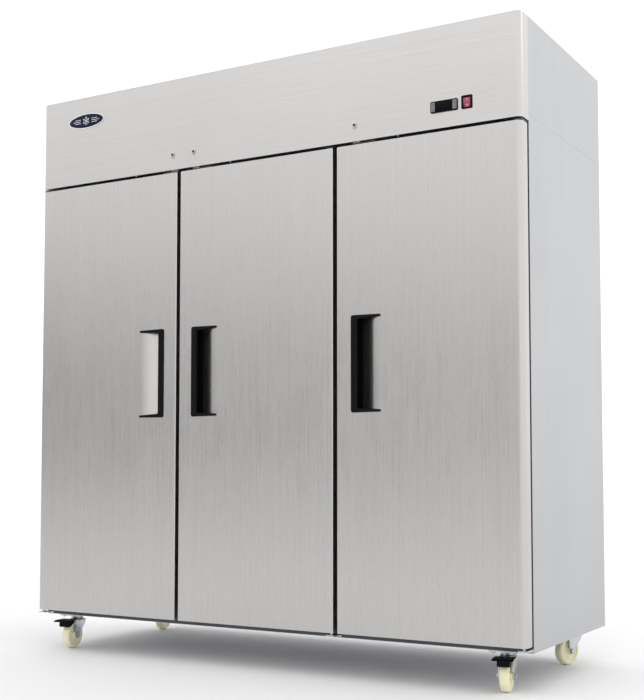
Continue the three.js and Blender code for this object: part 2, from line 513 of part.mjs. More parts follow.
// Evaporator housing under the ceiling of the middle bay.
const EV_X = DOOR_PITCH - MULLION / 2 - EVAPORATOR_SIDE, EV_TOP = linerTop - SHEET - FIT;
const EV_FRONT = CAB + 230, EV_BACK = linerBack - SHEET - FIT - 30;
{
  const ex = EV_X, t = 1.6, fz = (EV_LOW + EV_TOP) / 2;
  let s = cut(box(-ex, ex, EV_FRONT, EV_BACK, EV_LOW, EV_TOP), box(-ex + t, ex - t, EV_FRONT + t, EV_BACK + 5, EV_LOW + t, EV_TOP - t));
  s = s.add(box(-ex + 0.5, ex - 0.5, EV_FRONT + 120, EV_FRONT + 180, EV_LOW + 0.5, EV_TOP - 0.5));
  s = s.subtract(rod("y", 0, fz, 74, EV_FRONT - 5, EV_FRONT + 5, 28));
  s = s.add(rod("y", 0, fz, 24, EV_FRONT + 60, EV_FRONT + 121, 16));
  add("evaporator", s, ALUMINIUM);
  const g = new THREE.Group();
  g.position.set(0, EV_FRONT + 44, fz);
  part.add(g);
  let f = rod("y", 0, 0, 18, -10, 10, 16);
  for (let k = 0; k < 4; k++) {
    const b = new THREE.BoxGeometry(34, 2, 50);
    b.rotateZ(0.5);
    b.translate(0, 0, 41);
    b.rotateY((k * Math.PI) / 2);
    f = f.add(solid(b));
  }
  add("evaporator_fan", f, FAN_PLASTIC, g);
}

// ---------------------------------------------------------------- casters
for (const [key, turn] of Object.entries(CASTER_TURN)) {
  const g = new THREE.Group();
  g.position.set(...casterPlace(key), 0);
  g.rotation.z = THREE.MathUtils.degToRad(turn);
  part.add(g);
  const wy = -TRAIL, top = BASE - 20, braked = key.startsWith("front");
  // Fork: swivel head, crown plate, two legs and the axle.
  const legPts = [[22, top], [20, top - 10], [wy + 12, WHEEL_R], [wy + 9, WHEEL_R - 9], [wy, WHEEL_R - 13], [wy - 9, WHEEL_R - 9], [wy - 12, WHEEL_R], [-44, top - 22], [-56, top - 10], [-56, top]];
  let fork = join(box(-25, 25, -42, 26, top - 3, top), rod("z", 0, 0, 24, top - 1, BASE - 5 - FIT, 16));
  for (const sx of [-1, 1]) {
    let leg = across([...legPts].reverse(), Math.min(sx * 21.5, sx * 25), Math.max(sx * 21.5, sx * 25));
    if (braked) leg = leg.subtract(rod("x", -48, top - 4.5, 3.3, -30, 30, 12));
    fork = fork.add(leg);
  }
  fork = join(fork, rod("x", wy, WHEEL_R, 5, -30, 30, 12), rod("x", wy, WHEEL_R, 9, 24.5, 30, 6), rod("x", wy, WHEEL_R, 9, -30, -24.5, 6));
  fork = cut(fork, rod("z", 0, 0, 6 + FIT, top - 8, BASE, 12));
  add("caster_" + key + "_fork", fork, ZINC, g);
  // Wheel: hub, web and crowned tread.
  const axle = new THREE.Group();
  axle.position.set(0, wy, WHEEL_R);
  axle.rotation.y = Math.PI / 2;
  g.add(axle);
  const half = [[5.4, 20.6], [13, 20.6], [14, 11], [34, 11], [36, TREAD / 2], [46, TREAD / 2 - 1], [WHEEL_R, 7]];
  const profile = [...half, ...half.map(([rr, h]) => [rr, -h]).reverse()];
  add("caster_" + key + "_wheel", turned(profile.reverse(), 20), NYLON, axle);
  if (braked) {
    const py = -48, pz = top - 4.5, shoe = WHEEL_R + 1;
    const arc = [];
    for (let k = 0; k <= 5; k++) {
      const t = Math.PI / 2 + 0.38 + (k / 5) * 0.44;
      arc.push([wy + shoe * Math.cos(t), WHEEL_R + shoe * Math.sin(t)]);
    }
    const pedal = join(across([[-45, top + 2], [-45, top - 6.5], ...arc, [-88, BASE - 42], [-88, top + 2]].reverse(), -20, 20),
      across([[-45, top + 1.5], [-96, top + 1.5], [-108, top - 2.5], [-108.6, top - 0.5], [-96.5, top + 4], [-45, top + 4]].reverse(), -33, 33),
      rod("x", py, pz, 3, -26.5, 26.5, 12));
    add("caster_" + key + "_brake", pedal, BLACK, g);
  }
}

export default part;
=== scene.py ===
"""Looks of the three-door reach-in refrigerator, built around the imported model.

Sizes are in millimetres until a piece is made, where they become metres. +Z is up, the doors face -Y.
"""

import json
import math

import bmesh
import bpy
from mathutils import Matrix, Vector


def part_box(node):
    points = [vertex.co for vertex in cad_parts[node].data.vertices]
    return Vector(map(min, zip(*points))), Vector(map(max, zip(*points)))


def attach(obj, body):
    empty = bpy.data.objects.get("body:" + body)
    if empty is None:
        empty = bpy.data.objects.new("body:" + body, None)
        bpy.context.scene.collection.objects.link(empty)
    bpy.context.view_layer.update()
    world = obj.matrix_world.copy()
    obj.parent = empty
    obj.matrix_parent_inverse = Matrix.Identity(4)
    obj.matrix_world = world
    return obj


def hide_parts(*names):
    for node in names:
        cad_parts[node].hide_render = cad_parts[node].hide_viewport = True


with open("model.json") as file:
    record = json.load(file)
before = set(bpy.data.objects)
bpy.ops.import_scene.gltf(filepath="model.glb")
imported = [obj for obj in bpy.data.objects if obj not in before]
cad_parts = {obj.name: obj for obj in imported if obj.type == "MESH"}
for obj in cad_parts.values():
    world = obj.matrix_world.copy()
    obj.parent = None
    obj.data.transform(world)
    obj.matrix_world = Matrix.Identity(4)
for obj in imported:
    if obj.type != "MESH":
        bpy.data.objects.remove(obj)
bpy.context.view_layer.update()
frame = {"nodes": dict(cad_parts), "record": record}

MM = 0.001
SHEET = 1.2  # stainless sheet
FIT = 0.3  # assembly gap
BULLNOSE = 20  # outer vertical corners
CUT = 5  # how far a cutter runs past the faces that it cuts


# ---- places taken from the frame
def node_box(node):
    low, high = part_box(node)
    return [v / MM for v in low], [v / MM for v in high]


def joint_place(name):
    joint = next(j for j in frame["record"]["behaviour"]["joints"] if j["name"] == name)
    return Vector(joint["pos_m"]) / MM, Vector(joint["axis"])


HEADER_LOW, HEADER_HIGH = node_box("header_panel")
FRONT = node_box("door_middle_skin")[0][1]  # front plane of doors and header
CAB = node_box("side_panel_left")[0][1]  # front plane of the cabinet
BASE = node_box("side_panel_left")[0][2]  # underside of the cabinet
SIDE = HEADER_HIGH[0]  # half the width


# ---- materials
class Nodes:
    """A node tree with short calls for the nodes that the finishes and the surround share."""

    def __init__(self, owner, shader="Principled BSDF", coordinates="Object"):
        owner.use_nodes = True
        self.owner = owner
        self.tree = owner.node_tree
        self.shader = self.tree.nodes[shader].inputs
        self.place = self.add("TexCoord", coordinates)

    def feed(self, socket, value):
        """Links another node's output to a socket, or sets the socket to a plain value."""
        if isinstance(value, bpy.types.NodeSocket):
            self.tree.links.new(value, socket)
        else:
            socket.default_value = value

    def add(self, kind, output, inputs=(), **settings):
        """Makes a node and returns one of its outputs."""
        node = self.tree.nodes.new("ShaderNode" + kind)
        for key, value in settings.items():
            setattr(node, key, value)
        for key, value in dict(inputs).items():
            self.feed(node.inputs[key], value)
        return node.outputs[output]

    def finish(self, values):
        """Feeds the shader and returns the material."""
        for key, value in values.items():
            self.feed(self.shader[key], value)
        return self.owner

    def noise(self, scale, detail=3.0, rough=0.5):
        """Noise with one frequency per metre, or with one for each direction."""
        scale = scale if isinstance(scale, tuple) else (scale,) * 3
        place = self.add("Mapping", "Vector", {"Scale": scale, "Vector": self.place})
        return self.add("TexNoise", "Fac", {"Scale": 1.0, "Detail": detail, "Roughness": rough,
                                            "Vector": place})

    def spread(self, value, low, high, start=0.25, end=0.75, **settings):
        """Maps a value between start and end onto low to high."""
        return self.add("MapRange", "Result", {"From Min": start, "From Max": end, "To Min": low,
                                               "To Max": high, "Value": value}, **settings)

    def sum(self, a, b, operation="ADD"):
        return self.add("Math", "Value", {0: a, 1: b}, operation=operation)

    def mixed(self, factor, a, b):
        """Mixes two colours, each a plain one or an output."""
        a, b = ((*c, 1) if isinstance(c, tuple) else c for c in (a, b))
        return self.add("Mix", "Result", {"Factor": factor, "A": a, "B": b}, data_type="RGBA")

    def tone(self, noise, a, b):
        return self.mixed(self.spread(noise, 0.0, 1.0), a, b)

    def bump(self, height, strength, distance):
        return self.add("Bump", "Normal", {"Strength": strength, "Distance": distance, "Height": height})

    def dot(self, a, b):
        return self.add("VectorMath", "Value", {0: a, 1: b}, operation="DOT_PRODUCT")

    def edges(self, radius):
        """1 on sharp edges and 0 on flat faces."""
        bevel = self.add("Bevel", "Normal", {"Radius": radius}, samples=4)
        return self.spread(self.dot(bevel, self.add("NewGeometry", "Normal")), 1.0, 0.0, 0.75, 0.97)


def finish_nodes(name):
    return Nodes(bpy.data.materials.new(name))


def shade(colour, factor):
    return tuple(c * factor for c in colour)


def brushed(name, colour, roughness, grain, contrast=0.06, depth=0.05, smudge=0.015):
    """Stainless sheet with fine grain along the axis in which the grain's frequency is low."""
    n = finish_nodes(name)
    fine = n.noise(grain, 2.0, 0.6)
    broad = n.noise(tuple(g / 9 for g in grain), 2.0)
    cloud = n.noise((2.3, 2.3, 1.7), 4.0)
    wiped = n.noise((9, 9, 5), 5.0, 0.65)
    tone = n.sum(n.spread(fine, -contrast, contrast), n.spread(broad, -contrast / 2, contrast / 2))
    tone = n.sum(tone, n.spread(cloud, -0.01, 0.01))
    level = n.spread(tone, 0.0, 1.0, -2 * contrast, 2 * contrast)
    rough = n.sum(n.spread(fine, roughness - 0.05, roughness + 0.05),
                  n.spread(wiped, -smudge, smudge, 0.35, 0.7))
    return n.finish({"Metallic": 1.0, "Base Color": n.mixed(level, shade(colour, 0.9), shade(colour, 1.1)),
                     "Roughness": rough, "Normal": n.bump(fine, depth, 0.0004)})


def coated(name, colour, roughness, metallic=0.0, grain=900, depth=0.12, mottle=0.06, worn=None,
           specular=0.5):
    """Moulded, painted or plated: fine texture, uneven tone, and edges rubbed to a second colour."""
    n = finish_nodes(name)
    texture = n.noise(grain, 2.0)
    cloud = n.noise(28, 4.0, 0.6)
    body = n.tone(cloud, shade(colour, 1 - mottle), shade(colour, 1 + mottle))
    if worn:
        patchy = n.sum(n.edges(0.0008), n.spread(cloud, 0.15, 0.8), "MULTIPLY")
        body = n.mixed(patchy, body, worn)
    return n.finish({"Metallic": metallic, "Specular IOR Level": specular, "Base Color": body,
                     "Roughness": n.spread(cloud, roughness - 0.06, roughness + 0.06),
                     "Normal": n.bump(texture, depth, 0.0003)})


def glossy(name, colour, roughness=0.12, emission=None, specular=0.5):
    """Smooth moulding or glass with faint dust and smears."""
    n = finish_nodes(name)
    smear = n.noise((60, 60, 25), 4.0, 0.6)
    if emission:
        n.finish({"Emission Color": (*emission, 1), "Emission Strength": 0.08})
    return n.finish({"Specular IOR Level": specular,
                     "Base Color": n.tone(smear, shade(colour, 0.92), shade(colour, 1.08)),
                     "Roughness": n.spread(smear, roughness, roughness + 0.1)})


def foam(name):
    """Cut polyurethane foam: open cells and a yellowed, uneven tone."""
    n = finish_nodes(name)
    cells = n.add("TexVoronoi", "Distance", {"Scale": 700, "Vector": n.place})
    return n.finish({"Base Color": n.tone(n.noise(14, 4.0), (0.62, 0.50, 0.24), (0.78, 0.68, 0.40)),
                     "Roughness": 0.95, "Normal": n.bump(cells, 0.6, 0.0006)})


def copper(name):
    n = finish_nodes(name)
    tarnish = n.noise(35, 5.0, 0.65)
    return n.finish({"Metallic": 1.0, "Base Color": n.tone(tarnish, (0.55, 0.24, 0.12), (0.93, 0.55, 0.38)),
                     "Roughness": n.spread(tarnish, 0.22, 0.42),
                     "Normal": n.bump(n.noise(400), 0.08, 0.0003)})


VERTICAL_GRAIN = (1500, 1500, 7)  # frequency of the grain along x, y and z, per metre
LEVEL_GRAIN = (7, 1500, 1500)

FINISHES = {name: make(name, *values) for name, make, *values in (
    ("brushed_door", brushed, (0.56, 0.548, 0.54), 0.29, VERTICAL_GRAIN),
    ("header_steel", brushed, (0.575, 0.567, 0.56), 0.30, LEVEL_GRAIN, 0.02, 0.02, 0.01),
    ("side_steel", brushed, (0.48, 0.485, 0.495), 0.36, VERTICAL_GRAIN, 0.015, 0.02, 0.01),
    ("inner_steel", brushed, (0.62, 0.63, 0.64), 0.30, VERTICAL_GRAIN, 0.04, 0.04),
    ("zinc", coated, (0.52, 0.53, 0.56), 0.27, 1.0, 700, 0.10, 0.14, (0.36, 0.36, 0.37)),
    ("black_moulding", coated, (0.003, 0.003, 0.0033), 0.5, 0.0, 1400, 0.15, 0.12,
     (0.010, 0.010, 0.011), 0.10),
    ("gasket", coated, (0.02, 0.02, 0.021), 0.62, 0.0, 500, 0.10, 0.15),
    ("frame", coated, (0.055, 0.06, 0.075), 0.42, 0.0, 1000, 0.12, 0.08),
    ("foam", foam),
    ("door_liner", coated, (0.72, 0.72, 0.71), 0.34, 0.0, 500, 0.06, 0.03),
    ("shelf_wire", coated, (0.80, 0.80, 0.77), 0.32, 0.0, 600, 0.10, 0.05, (0.62, 0.60, 0.55)),
    ("nylon", coated, (0.82, 0.80, 0.56), 0.40, 0.0, 500, 0.10, 0.06),
    ("rocker_red", glossy, (0.30, 0.03, 0.075), 0.14, (1.0, 0.16, 0.3)),
    ("silver_plastic", coated, (0.20, 0.20, 0.22), 0.36, 0.4, 900, 0.08, 0.04),
    ("black_paint", coated, (0.016, 0.016, 0.018), 0.34, 0.0, 260, 0.25, 0.2, (0.20, 0.19, 0.18)),
    ("aluminium", brushed, (0.78, 0.79, 0.80), 0.36, LEVEL_GRAIN, 0.04, 0.05),
    ("fan_plastic", coated, (0.03, 0.032, 0.036), 0.42, 0.0, 900, 0.12, 0.1),
)}
DISPLAY = glossy("display_glass", (0.002, 0.002, 0.003), 0.22, specular=0.08)
BADGE_BLUE = glossy("badge_blue", (0.006, 0.009, 0.030), 0.22, specular=0.15)
BADGE_SILVER = coated("badge_silver", (0.86, 0.87, 0.89), 0.22, 0.8, 800, 0.05, 0.03)
MARK_WHITE = coated("mark_white", (0.80, 0.80, 0.80), 0.4, 0.0, 800, 0.04, 0.03)
# Black for the printed button marks, and painted shade inside the pilaster slots.
PRINT_AND_SHADE_BLACK = coated("print_and_shade_black", (0.012, 0.012, 0.012), 0.5, 0.0, 800, 0.04, 0.1)
COPPER = copper("copper")


# ---- mesh helpers
SCENE = bpy.context.scene
new = bmesh.new


def add_object(name, data):
    obj = bpy.data.objects.new(name, data)
    SCENE.collection.objects.link(obj)
    return obj


def mesh_data(name, mesh):
    """Turns a working mesh into mesh data and frees it."""
    data = bpy.data.meshes.new(name)
    mesh.to_mesh(data)
    mesh.free()
    return data


def piece(name, mesh, slot, body="cabinet", replaced=(), material=None, angle=32):
    """Makes a mesh drawn in millimetres into a named piece that rides on a body."""
    bmesh.ops.recalc_face_normals(mesh, faces=mesh.faces)
    bmesh.ops.scale(mesh, vec=(MM, MM, MM), verts=mesh.verts)
    data = mesh_data(name, mesh)
    data.materials.append(material or FINISHES[slot])
    data.shade_smooth()
    data.set_sharp_from_angle(angle=math.radians(angle))
    obj = add_object(name, data)
    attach(obj, body)
    if replaced:
        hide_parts(*replaced)
    return obj


def soften(obj, width, segments=2):
    """Rounds the sharp edges of a piece."""
    bevel = obj.modifiers.new("soft_edges", "BEVEL")
    bevel.width = width * MM
    bevel.segments = segments
    bevel.limit_method = "ANGLE"
    bevel.angle_limit = math.radians(40)
    bevel.harden_normals = True
    return obj


def fillet(corners, steps=5):
    """Closed outline from corners (a, b, radius)."""
    points = []
    for i, (a, b, radius) in enumerate(corners):
        here = Vector((a, b))
        if not radius:
            points.append((a, b))
            continue
        before = (Vector(corners[i - 1][:2]) - here).normalized()
        after = (Vector(corners[(i + 1) % len(corners)][:2]) - here).normalized()
        half = before.angle(after) / 2
        centre = here + (before + after).normalized() * (radius / math.sin(half))
        start = here + before * (radius / math.tan(half)) - centre
        end = here + after * (radius / math.tan(half)) - centre
        first = math.atan2(start.y, start.x)
        sweep = (math.atan2(end.y, end.x) - first + math.pi) % (2 * math.pi) - math.pi
        for k in range(steps + 1):
            t = first + sweep * k / steps
            points.append((centre.x + radius * math.cos(t), centre.y + radius * math.sin(t)))
    return points


def rectangle(a0, a1, b0, b1, radius=0, steps=5):
    return fillet([(a0, b0, radius), (a1, b0, radius), (a1, b1, radius), (a0, b1, radius)], steps)


def facade(low, high, radius):
    """A box's outline as seen from the front."""
    return rectangle(low[0], high[0], low[2], high[2], radius)


def circle(a, b, radius, steps=32):
    turns = [2 * math.pi * k / steps for k in range(steps)]
    return [(a + radius * math.cos(t), b + radius * math.sin(t)) for t in turns]


PLACE = {"x": lambda a, b, h: (h, a, b), "y": lambda a, b, h: (a, h, b), "z": lambda a, b, h: (a, b, h)}


def round_off(mesh, edges, width, steps):
    bmesh.ops.bevel(mesh, geom=edges, offset=width, segments=steps, profile=0.5, affect="EDGES",
                    clamp_overlap=True)


def bridge(mesh, a, b):
    """Band of faces between two closed rows of vertices."""
    for i in range(len(a)):
        j = (i + 1) % len(a)
        mesh.faces.new((a[i], a[j], b[j], b[i]))


def prism(mesh, outline, axis, low, high, edge=0.0, ends=("low", "high"), steps=3):
    """Extrudes an outline along an axis and rounds the rims of the named ends."""
    rows = {end: [mesh.verts.new(PLACE[axis](a, b, h)) for a, b in outline]
            for end, h in (("low", low), ("high", high))}
    caps = {end: mesh.faces.new(row) for end, row in rows.items()}
    bridge(mesh, rows["low"], rows["high"])
    if edge:
        round_off(mesh, [e for end in ends for e in caps[end].edges], edge, steps)
    return mesh


def plate(outline, front, back, edge, steps=3):
    """Plate ahead of the front plane, from one distance to another, with a rounded front rim."""
    return prism(new(), outline, "y", FRONT - front, FRONT - back, edge, ["low"], steps)


def through(outline, front=CUT, back=CUT):
    """Cutter through the front plane."""
    return prism(new(), outline, "y", FRONT - front, FRONT + back)


def block(mesh, x0, x1, y0, y1, z0, z1, edge=0.0, steps=2):
    """Box with rounded edges."""
    made = bmesh.ops.create_cube(mesh, size=1)["verts"]
    for v in made:
        share = v.co + Vector((0.5, 0.5, 0.5))
        v.co = Vector((x0 + share.x * (x1 - x0), y0 + share.y * (y1 - y0), z0 + share.z * (z1 - z0)))
    if edge:
        round_off(mesh, list({e for v in made for e in v.link_edges}), edge, steps)
    return mesh


def open_box(low, high, edge):
    """Folded box, open at the back: the outer form, and the hollow to carve out of it."""
    (x0, y0, z0), (x1, y1, z1), wall = low, high, 1.6
    return (block(new(), x0, x1, y0, y1, z0, z1, edge),
            block(new(), x0 + wall, x1 - wall, y0 + wall, y1 + CUT, z0 + wall, z1 - wall))


def shift(x, y, z):
    return Matrix.Translation((x, y, z))


def spin(angle, axis):
    return Matrix.Rotation(angle, 4, axis)


def aligned(start, end):
    """Matrix that takes Z at the origin to the line from start to end."""
    along = Vector(end) - Vector(start)
    return Matrix.Translation(start) @ along.to_track_quat("Z", "Y").to_matrix().to_4x4()


def turned(mesh, profile, matrix=Matrix.Identity(4), steps=32):
    """Turns a closed profile of (radius, height) about Z and places it."""
    rings = [[mesh.verts.new(matrix @ Vector((r * math.cos(t), r * math.sin(t), h))) for r, h in profile]
             for t in (2 * math.pi * k / steps for k in range(steps))]
    count = len(profile)
    for k in range(steps):
        a, b = rings[k], rings[(k + 1) % steps]
        for i in range(count):
            j = (i + 1) % count
            if profile[i][0] or profile[j][0]:
                mesh.faces.new((a[i], b[i], b[j], a[j]))
    bmesh.ops.remove_doubles(mesh, verts=[v for ring in rings for v in ring], dist=1e-4)
    return mesh


def washer(mesh, inner, outer, thick, matrix, steps=24):
    """Flat ring about Z, placed by a matrix."""
    return turned(mesh, [(inner, 0), (outer, 0), (outer, thick), (inner, thick)], matrix, steps)


def rod(mesh, start, end, radius, steps=12, edge=0.0):
    """Round bar between two points, with rounded rims if an edge is given."""
    length = (Vector(end) - Vector(start)).length
    rim = [(radius - edge, 0), (radius, edge)] if edge else [(radius, 0)]
    top = [(r, length - h) for r, h in reversed(rim)]
    return turned(mesh, [(0, 0), *rim, *top, (0, length)], aligned(start, end), steps)


def hexagon(mesh, start, end, radius):
    return rod(mesh, start, end, radius, 6, radius * 0.08)


def bent(points, radius, steps=6):
    """Path through points with its corners rounded."""
    path = [Vector(points[0])]
    for before, here, after in zip(points, points[1:], points[2:]):
        here = Vector(here)
        u, v = Vector(before) - here, Vector(after) - here
        limit = min(u.length, v.length) / 2
        u, v = u.normalized(), v.normalized()
        reach = min(radius / math.tan(u.angle(v) / 2), limit)
        a, b = here + u * reach, here + v * reach
        for k in range(steps + 1):
            t = k / steps
            path.append(a * (1 - t) ** 2 + here * 2 * t * (1 - t) + b * t ** 2)
    path.append(Vector(points[-1]))
    return path


def tube(mesh, path, radius, steps=10, closed=False):
    """Round wire or pipe along a path."""
    count = len(path)
    normal, rings = None, []
    for i, here in enumerate(path):
        before = path[i - 1] if closed or i else here
        after = path[(i + 1) % count] if closed or i < count - 1 else here
        along = (after - before).normalized()
        if normal is None:
            normal = along.orthogonal().normalized()
        normal = (normal - along * normal.dot(along)).normalized()
        side = along.cross(normal)
        rings.append([mesh.verts.new(here + (normal * math.cos(t) + side * math.sin(t)) * radius)
                      for t in (2 * math.pi * k / steps for k in range(steps))])
    for i in range(count if closed else count - 1):
        bridge(mesh, rings[i], rings[(i + 1) % count])
    if not closed:
        mesh.faces.new(rings[0])
        mesh.faces.new(rings[-1])
    return mesh


def moved(mesh, matrix):
    bmesh.ops.transform(mesh, matrix=matrix, verts=mesh.verts)
    return mesh


def carved(mesh, *cutters):
    """Cuts closed meshes out of a closed mesh."""
    made = []
    for shape in (mesh, *cutters):
        bmesh.ops.recalc_face_normals(shape, faces=shape.faces)
        made.append(add_object("carving", mesh_data("carving", shape)))
    base = made[0]
    for tool in made[1:]:
        boolean = base.modifiers.new("cut", "BOOLEAN")
        boolean.operation = "DIFFERENCE"
        boolean.solver = "EXACT"
        boolean.object = tool
    result = bpy.data.meshes.new_from_object(base.evaluated_get(bpy.context.evaluated_depsgraph_get()))
    out = new()
    out.from_mesh(result)
    for obj in made:
        data = obj.data
        bpy.data.objects.remove(obj)
        bpy.data.meshes.remove(data)
    bpy.data.meshes.remove(result)
    return out


def join(mesh, other):
    """Adds a second mesh's shells to a mesh."""
    scrap = mesh_data("scrap", other)
    mesh.from_mesh(scrap)
    bpy.data.meshes.remove(scrap)
    return mesh


# ---- stainless pans
def pan(low, high, left, right):
    """Folded sheet pan, open at the back: the outer form, and the hollow to carve out of it."""
    def form(inset, over, left, right, edge=0.0):
        """Plan with rounded front corners and a straight back, raised over the pan's height."""
        x0, x1, y0, y1 = low[0] + inset, high[0] - inset, low[1] + inset, high[1] + over
        plan = fillet([(x0, y1, 0), (x0, y0, left), (x1, y0, right), (x1, y1, 0)], 10)
        return prism(new(), plan, "z", low[2] + inset, high[2] - inset, edge)

    return form(0, 0, left, right, 1.6), form(SHEET, CUT, max(left - SHEET, 0.5), max(right - SHEET, 0.5))


LOCKS = {key: joint_place(f"lock_{key}_turn")[0] for key in ("left", "middle", "right")}
LOCK_SIDE = {"left": -1, "middle": 1, "right": 1}  # the way that each cam points at rest
CAM_SWEEP = (FRONT + 21, FRONT + 29.5)  # range of y kept free for the cams


def cam_span(key, behind, ahead):
    """Range of x about a lock's axis, measured along its cam."""
    x, d = LOCKS[key].x, LOCK_SIDE[key]
    return sorted((x - d * behind, x + d * ahead))


def header():
    """Front panel over the doors, with its openings for the controls and the locks."""
    low, high = [HEADER_LOW[0], FRONT, HEADER_LOW[2]], HEADER_HIGH
    outer, inner = pan(low, high, BULLNOSE, BULLNOSE)
    cuts = [inner, block(new(), -SIDE + 30, SIDE - 30, FRONT + 26, CAB + CUT, high[2] - 10, high[2] + CUT)]
    for node, dx, dz in (("controller", 3, 3), ("switch_housing", 4, 2)):
        c_low, c_high = node_box(node)
        cuts.append(block(new(), c_low[0] + dx, c_high[0] - dx, FRONT - CUT, FRONT + CUT,
                          c_low[2] + dz, c_high[2] - dz))
    for key, p in LOCKS.items():
        cuts.append(through(circle(p.x, p.z, 6.6)))
        cuts.append(block(new(), *cam_span(key, 8, 62), *CAM_SWEEP, low[2] - CUT, low[2] + CUT))
    piece("header_front_panel", carved(outer, *cuts), "header_steel", "cabinet", ["header_panel"])
    for key, p in LOCKS.items():
        x, z = p.x + 1, p.z - 9.3  # the rivet below the lock
        escutcheon = carved(plate(rectangle(p.x - 8, p.x + 8, p.z - 13, p.z + 11, 5), 2, 0.05, 0.7),
                            through(circle(p.x, p.z, 6.4)), through(circle(x, z, 1.7, 16)))
        piece(f"lock_{key}_escutcheon", escutcheon, "header_steel")
        rivet = rod(new(), (x, FRONT - 0.5, z), (x, FRONT - 1.9, z), 1.6, 16, 0.3)
        piece(f"lock_{key}_rivet", rivet, "black_moulding")


def lock(key):
    """Lock plug with its nut and cam behind the header, and the keyway's shutter."""
    p, node = LOCKS[key], f"lock_{key}"

    def at(back):
        return p.x, FRONT + back, p.z

    plug = carved(rod(new(), at(28), at(-3.4), 6, 32, 0.7), through(circle(p.x, p.z, 4.9, 28), back=-2.6))
    prism(plug, rectangle(*cam_span(key, 6, 76), p.z - 6, p.z + 6, 5), "y", FRONT + 24, FRONT + 26.5, 0.4)
    hexagon(plug, at(24), at(21), 8)
    piece(f"{node}_plug", plug, "zinc", node, [node])
    slit = block(new(), p.x - 0.7, p.x + 0.7, FRONT - CUT, FRONT - 2.3, p.z - 3.4, p.z + 3.4, 0.1)
    piece(f"{node}_shutter", carved(rod(new(), at(-2), at(-3.1), 4.7, 28, 0.3), slit), "black_moulding", node)


BADGE_PLACE = (-768, 2018)
BADGE_HALF = (87, 28.5)


def badge():
    """Oval plate with a plain frost star between three bars on each side."""
    x, z = BADGE_PLACE

    def oval(inset, share, rise):
        """The badge's outline, inset and then scaled, at a height over the header."""
        a, b = BADGE_HALF
        return [Vector((x + c * (a - inset) * share, FRONT - rise, z + s * (b - inset) * share))
                for c, s in circle(0, 0, 1, 72)]

    rim = tube(new(), oval(1.8, 1.0, 1.5), 1.5, 10, True)
    piece("badge_rim", rim, "silver_plastic", material=BADGE_SILVER)
    field = new()
    rings = [[field.verts.new(p) for p in oval(3, share, rise)]
             for share, rise in ((1.0, 0.2), (0.98, 1.4), (0.8, 1.9), (0.55, 2.3), (0.25, 2.5))]
    for inner, outer in zip(rings[1:], rings):
        bridge(field, outer, inner)
    field.faces.new(rings[0])
    field.faces.new(rings[-1])
    piece("badge_field", field, "silver_plastic", material=BADGE_BLUE)
    mark = new()
    front, back = FRONT - 2.9, FRONT - 2.0
    for k in range(3):
        arm = block(new(), -0.9, 0.9, front, back, -17, 17, 0.3)
        for end in (-1, 1):
            for side in (-1, 1):
                tip = block(new(), -0.7, 0.7, front, back, 0, 6.5, 0.2)
                lean = shift(0, 0, end * 9) @ spin(side * 0.85, "Y") @ Matrix.Diagonal((1, 1, end, 1))
                join(arm, moved(tip, lean))
        join(mark, moved(arm, shift(x, 0, z) @ spin(math.pi * k / 3, "Y")))
    for side in (-1, 1):
        for k, reach in ((-1, 54), (0, 64), (1, 54)):
            ends = sorted((x + side * 27, x + side * reach))
            block(mark, *ends, FRONT - 2.8, FRONT - 1.7, z + k * 7 - 0.9, z + k * 7 + 0.9, 0.3)
    piece("badge_mark", mark, "silver_plastic", material=BADGE_SILVER)


# ---- controls
BUTTONS = ("up", "down", "set", "light")


def controller():
    """Temperature controller: bezel, dark window and silver side strips around the buttons."""
    low, high = node_box("controller")
    cx, cz = (low[0] + high[0]) / 2, (low[2] + high[2]) / 2
    bezel = carved(plate(facade(low, high, 3.5), 3.6, FIT, 0.9),
                   through(rectangle(cx - 45, cx + 45, cz - 15.5, cz + 15.5, 2), 8, -2.6))
    block(bezel, low[0] + 3.5, high[0] - 3.5, FRONT - 0.5, FRONT + 55, low[2] + 3.8, high[2] - 3.8, 1)
    piece("controller_bezel", bezel, "black_moulding", "cabinet", ["controller"])
    glass = plate(rectangle(cx - 31, cx + 30, cz - 15, cz + 15, 1), 3.4, 2.5, 0.3)
    piece("controller_window", glass, "black_moulding", material=DISPLAY)
    for name, x0, x1 in (("left", cx - 44.6, cx - 31.3), ("right", cx + 30.3, cx + 44.6)):
        holes = []
        for button in BUTTONS:
            (b_x0, _, b_z0), (b_x1, _, b_z1) = node_box(f"button_{button}")
            if x0 < b_x0 < x1:
                holes.append(through(rectangle(b_x0 - FIT, b_x1 + FIT, b_z0 - FIT, b_z1 + FIT, 1.5), 8, 0))
        strip = plate(rectangle(x0, x1, cz - 15, cz + 15, 1.5), 3.7, 2.5, 0.4)
        piece(f"controller_strip_{name}", carved(strip, *holes), "silver_plastic")


def controller_button(name):
    """Button with its mark: a triangle up or down, a ring, or a sun."""
    node = f"button_{name}"
    low, high = node_box(node)
    x, face, z = (low[0] + high[0]) / 2, low[1], (low[2] + high[2]) / 2
    cap = prism(new(), facade(low, high, 1.5), "y", face + 0.15, high[1], 0.6, ["low"])
    piece(f"{node}_cap", cap, "silver_plastic", node, [node])
    mark, size, thick = new(), 2.6, 0.4
    back, front = (x, face + thick, z), (x, face, z)
    if name in ("up", "down"):
        tip = size if name == "up" else -size
        outline = [(x - size, z - tip * 0.6), (x + size, z - tip * 0.6), (x, z + tip)]
        prism(mark, outline, "y", face, face + thick)
    if name == "set":
        washer(mark, 1.9, 2.7, thick, aligned(back, front))
    if name == "light":
        rod(mark, back, front, 1.2, 16)
        for k in range(6):
            ray = shift(x, 0, z) @ spin(math.pi * k / 3, "Y")
            rod(mark, ray @ Vector((0, face + 0.25, 1.8)), ray @ Vector((0, face + 0.25, 3.0)), 0.25, 6)
    piece(f"{node}_mark", mark, "silver_plastic", node, material=PRINT_AND_SHADE_BLACK)


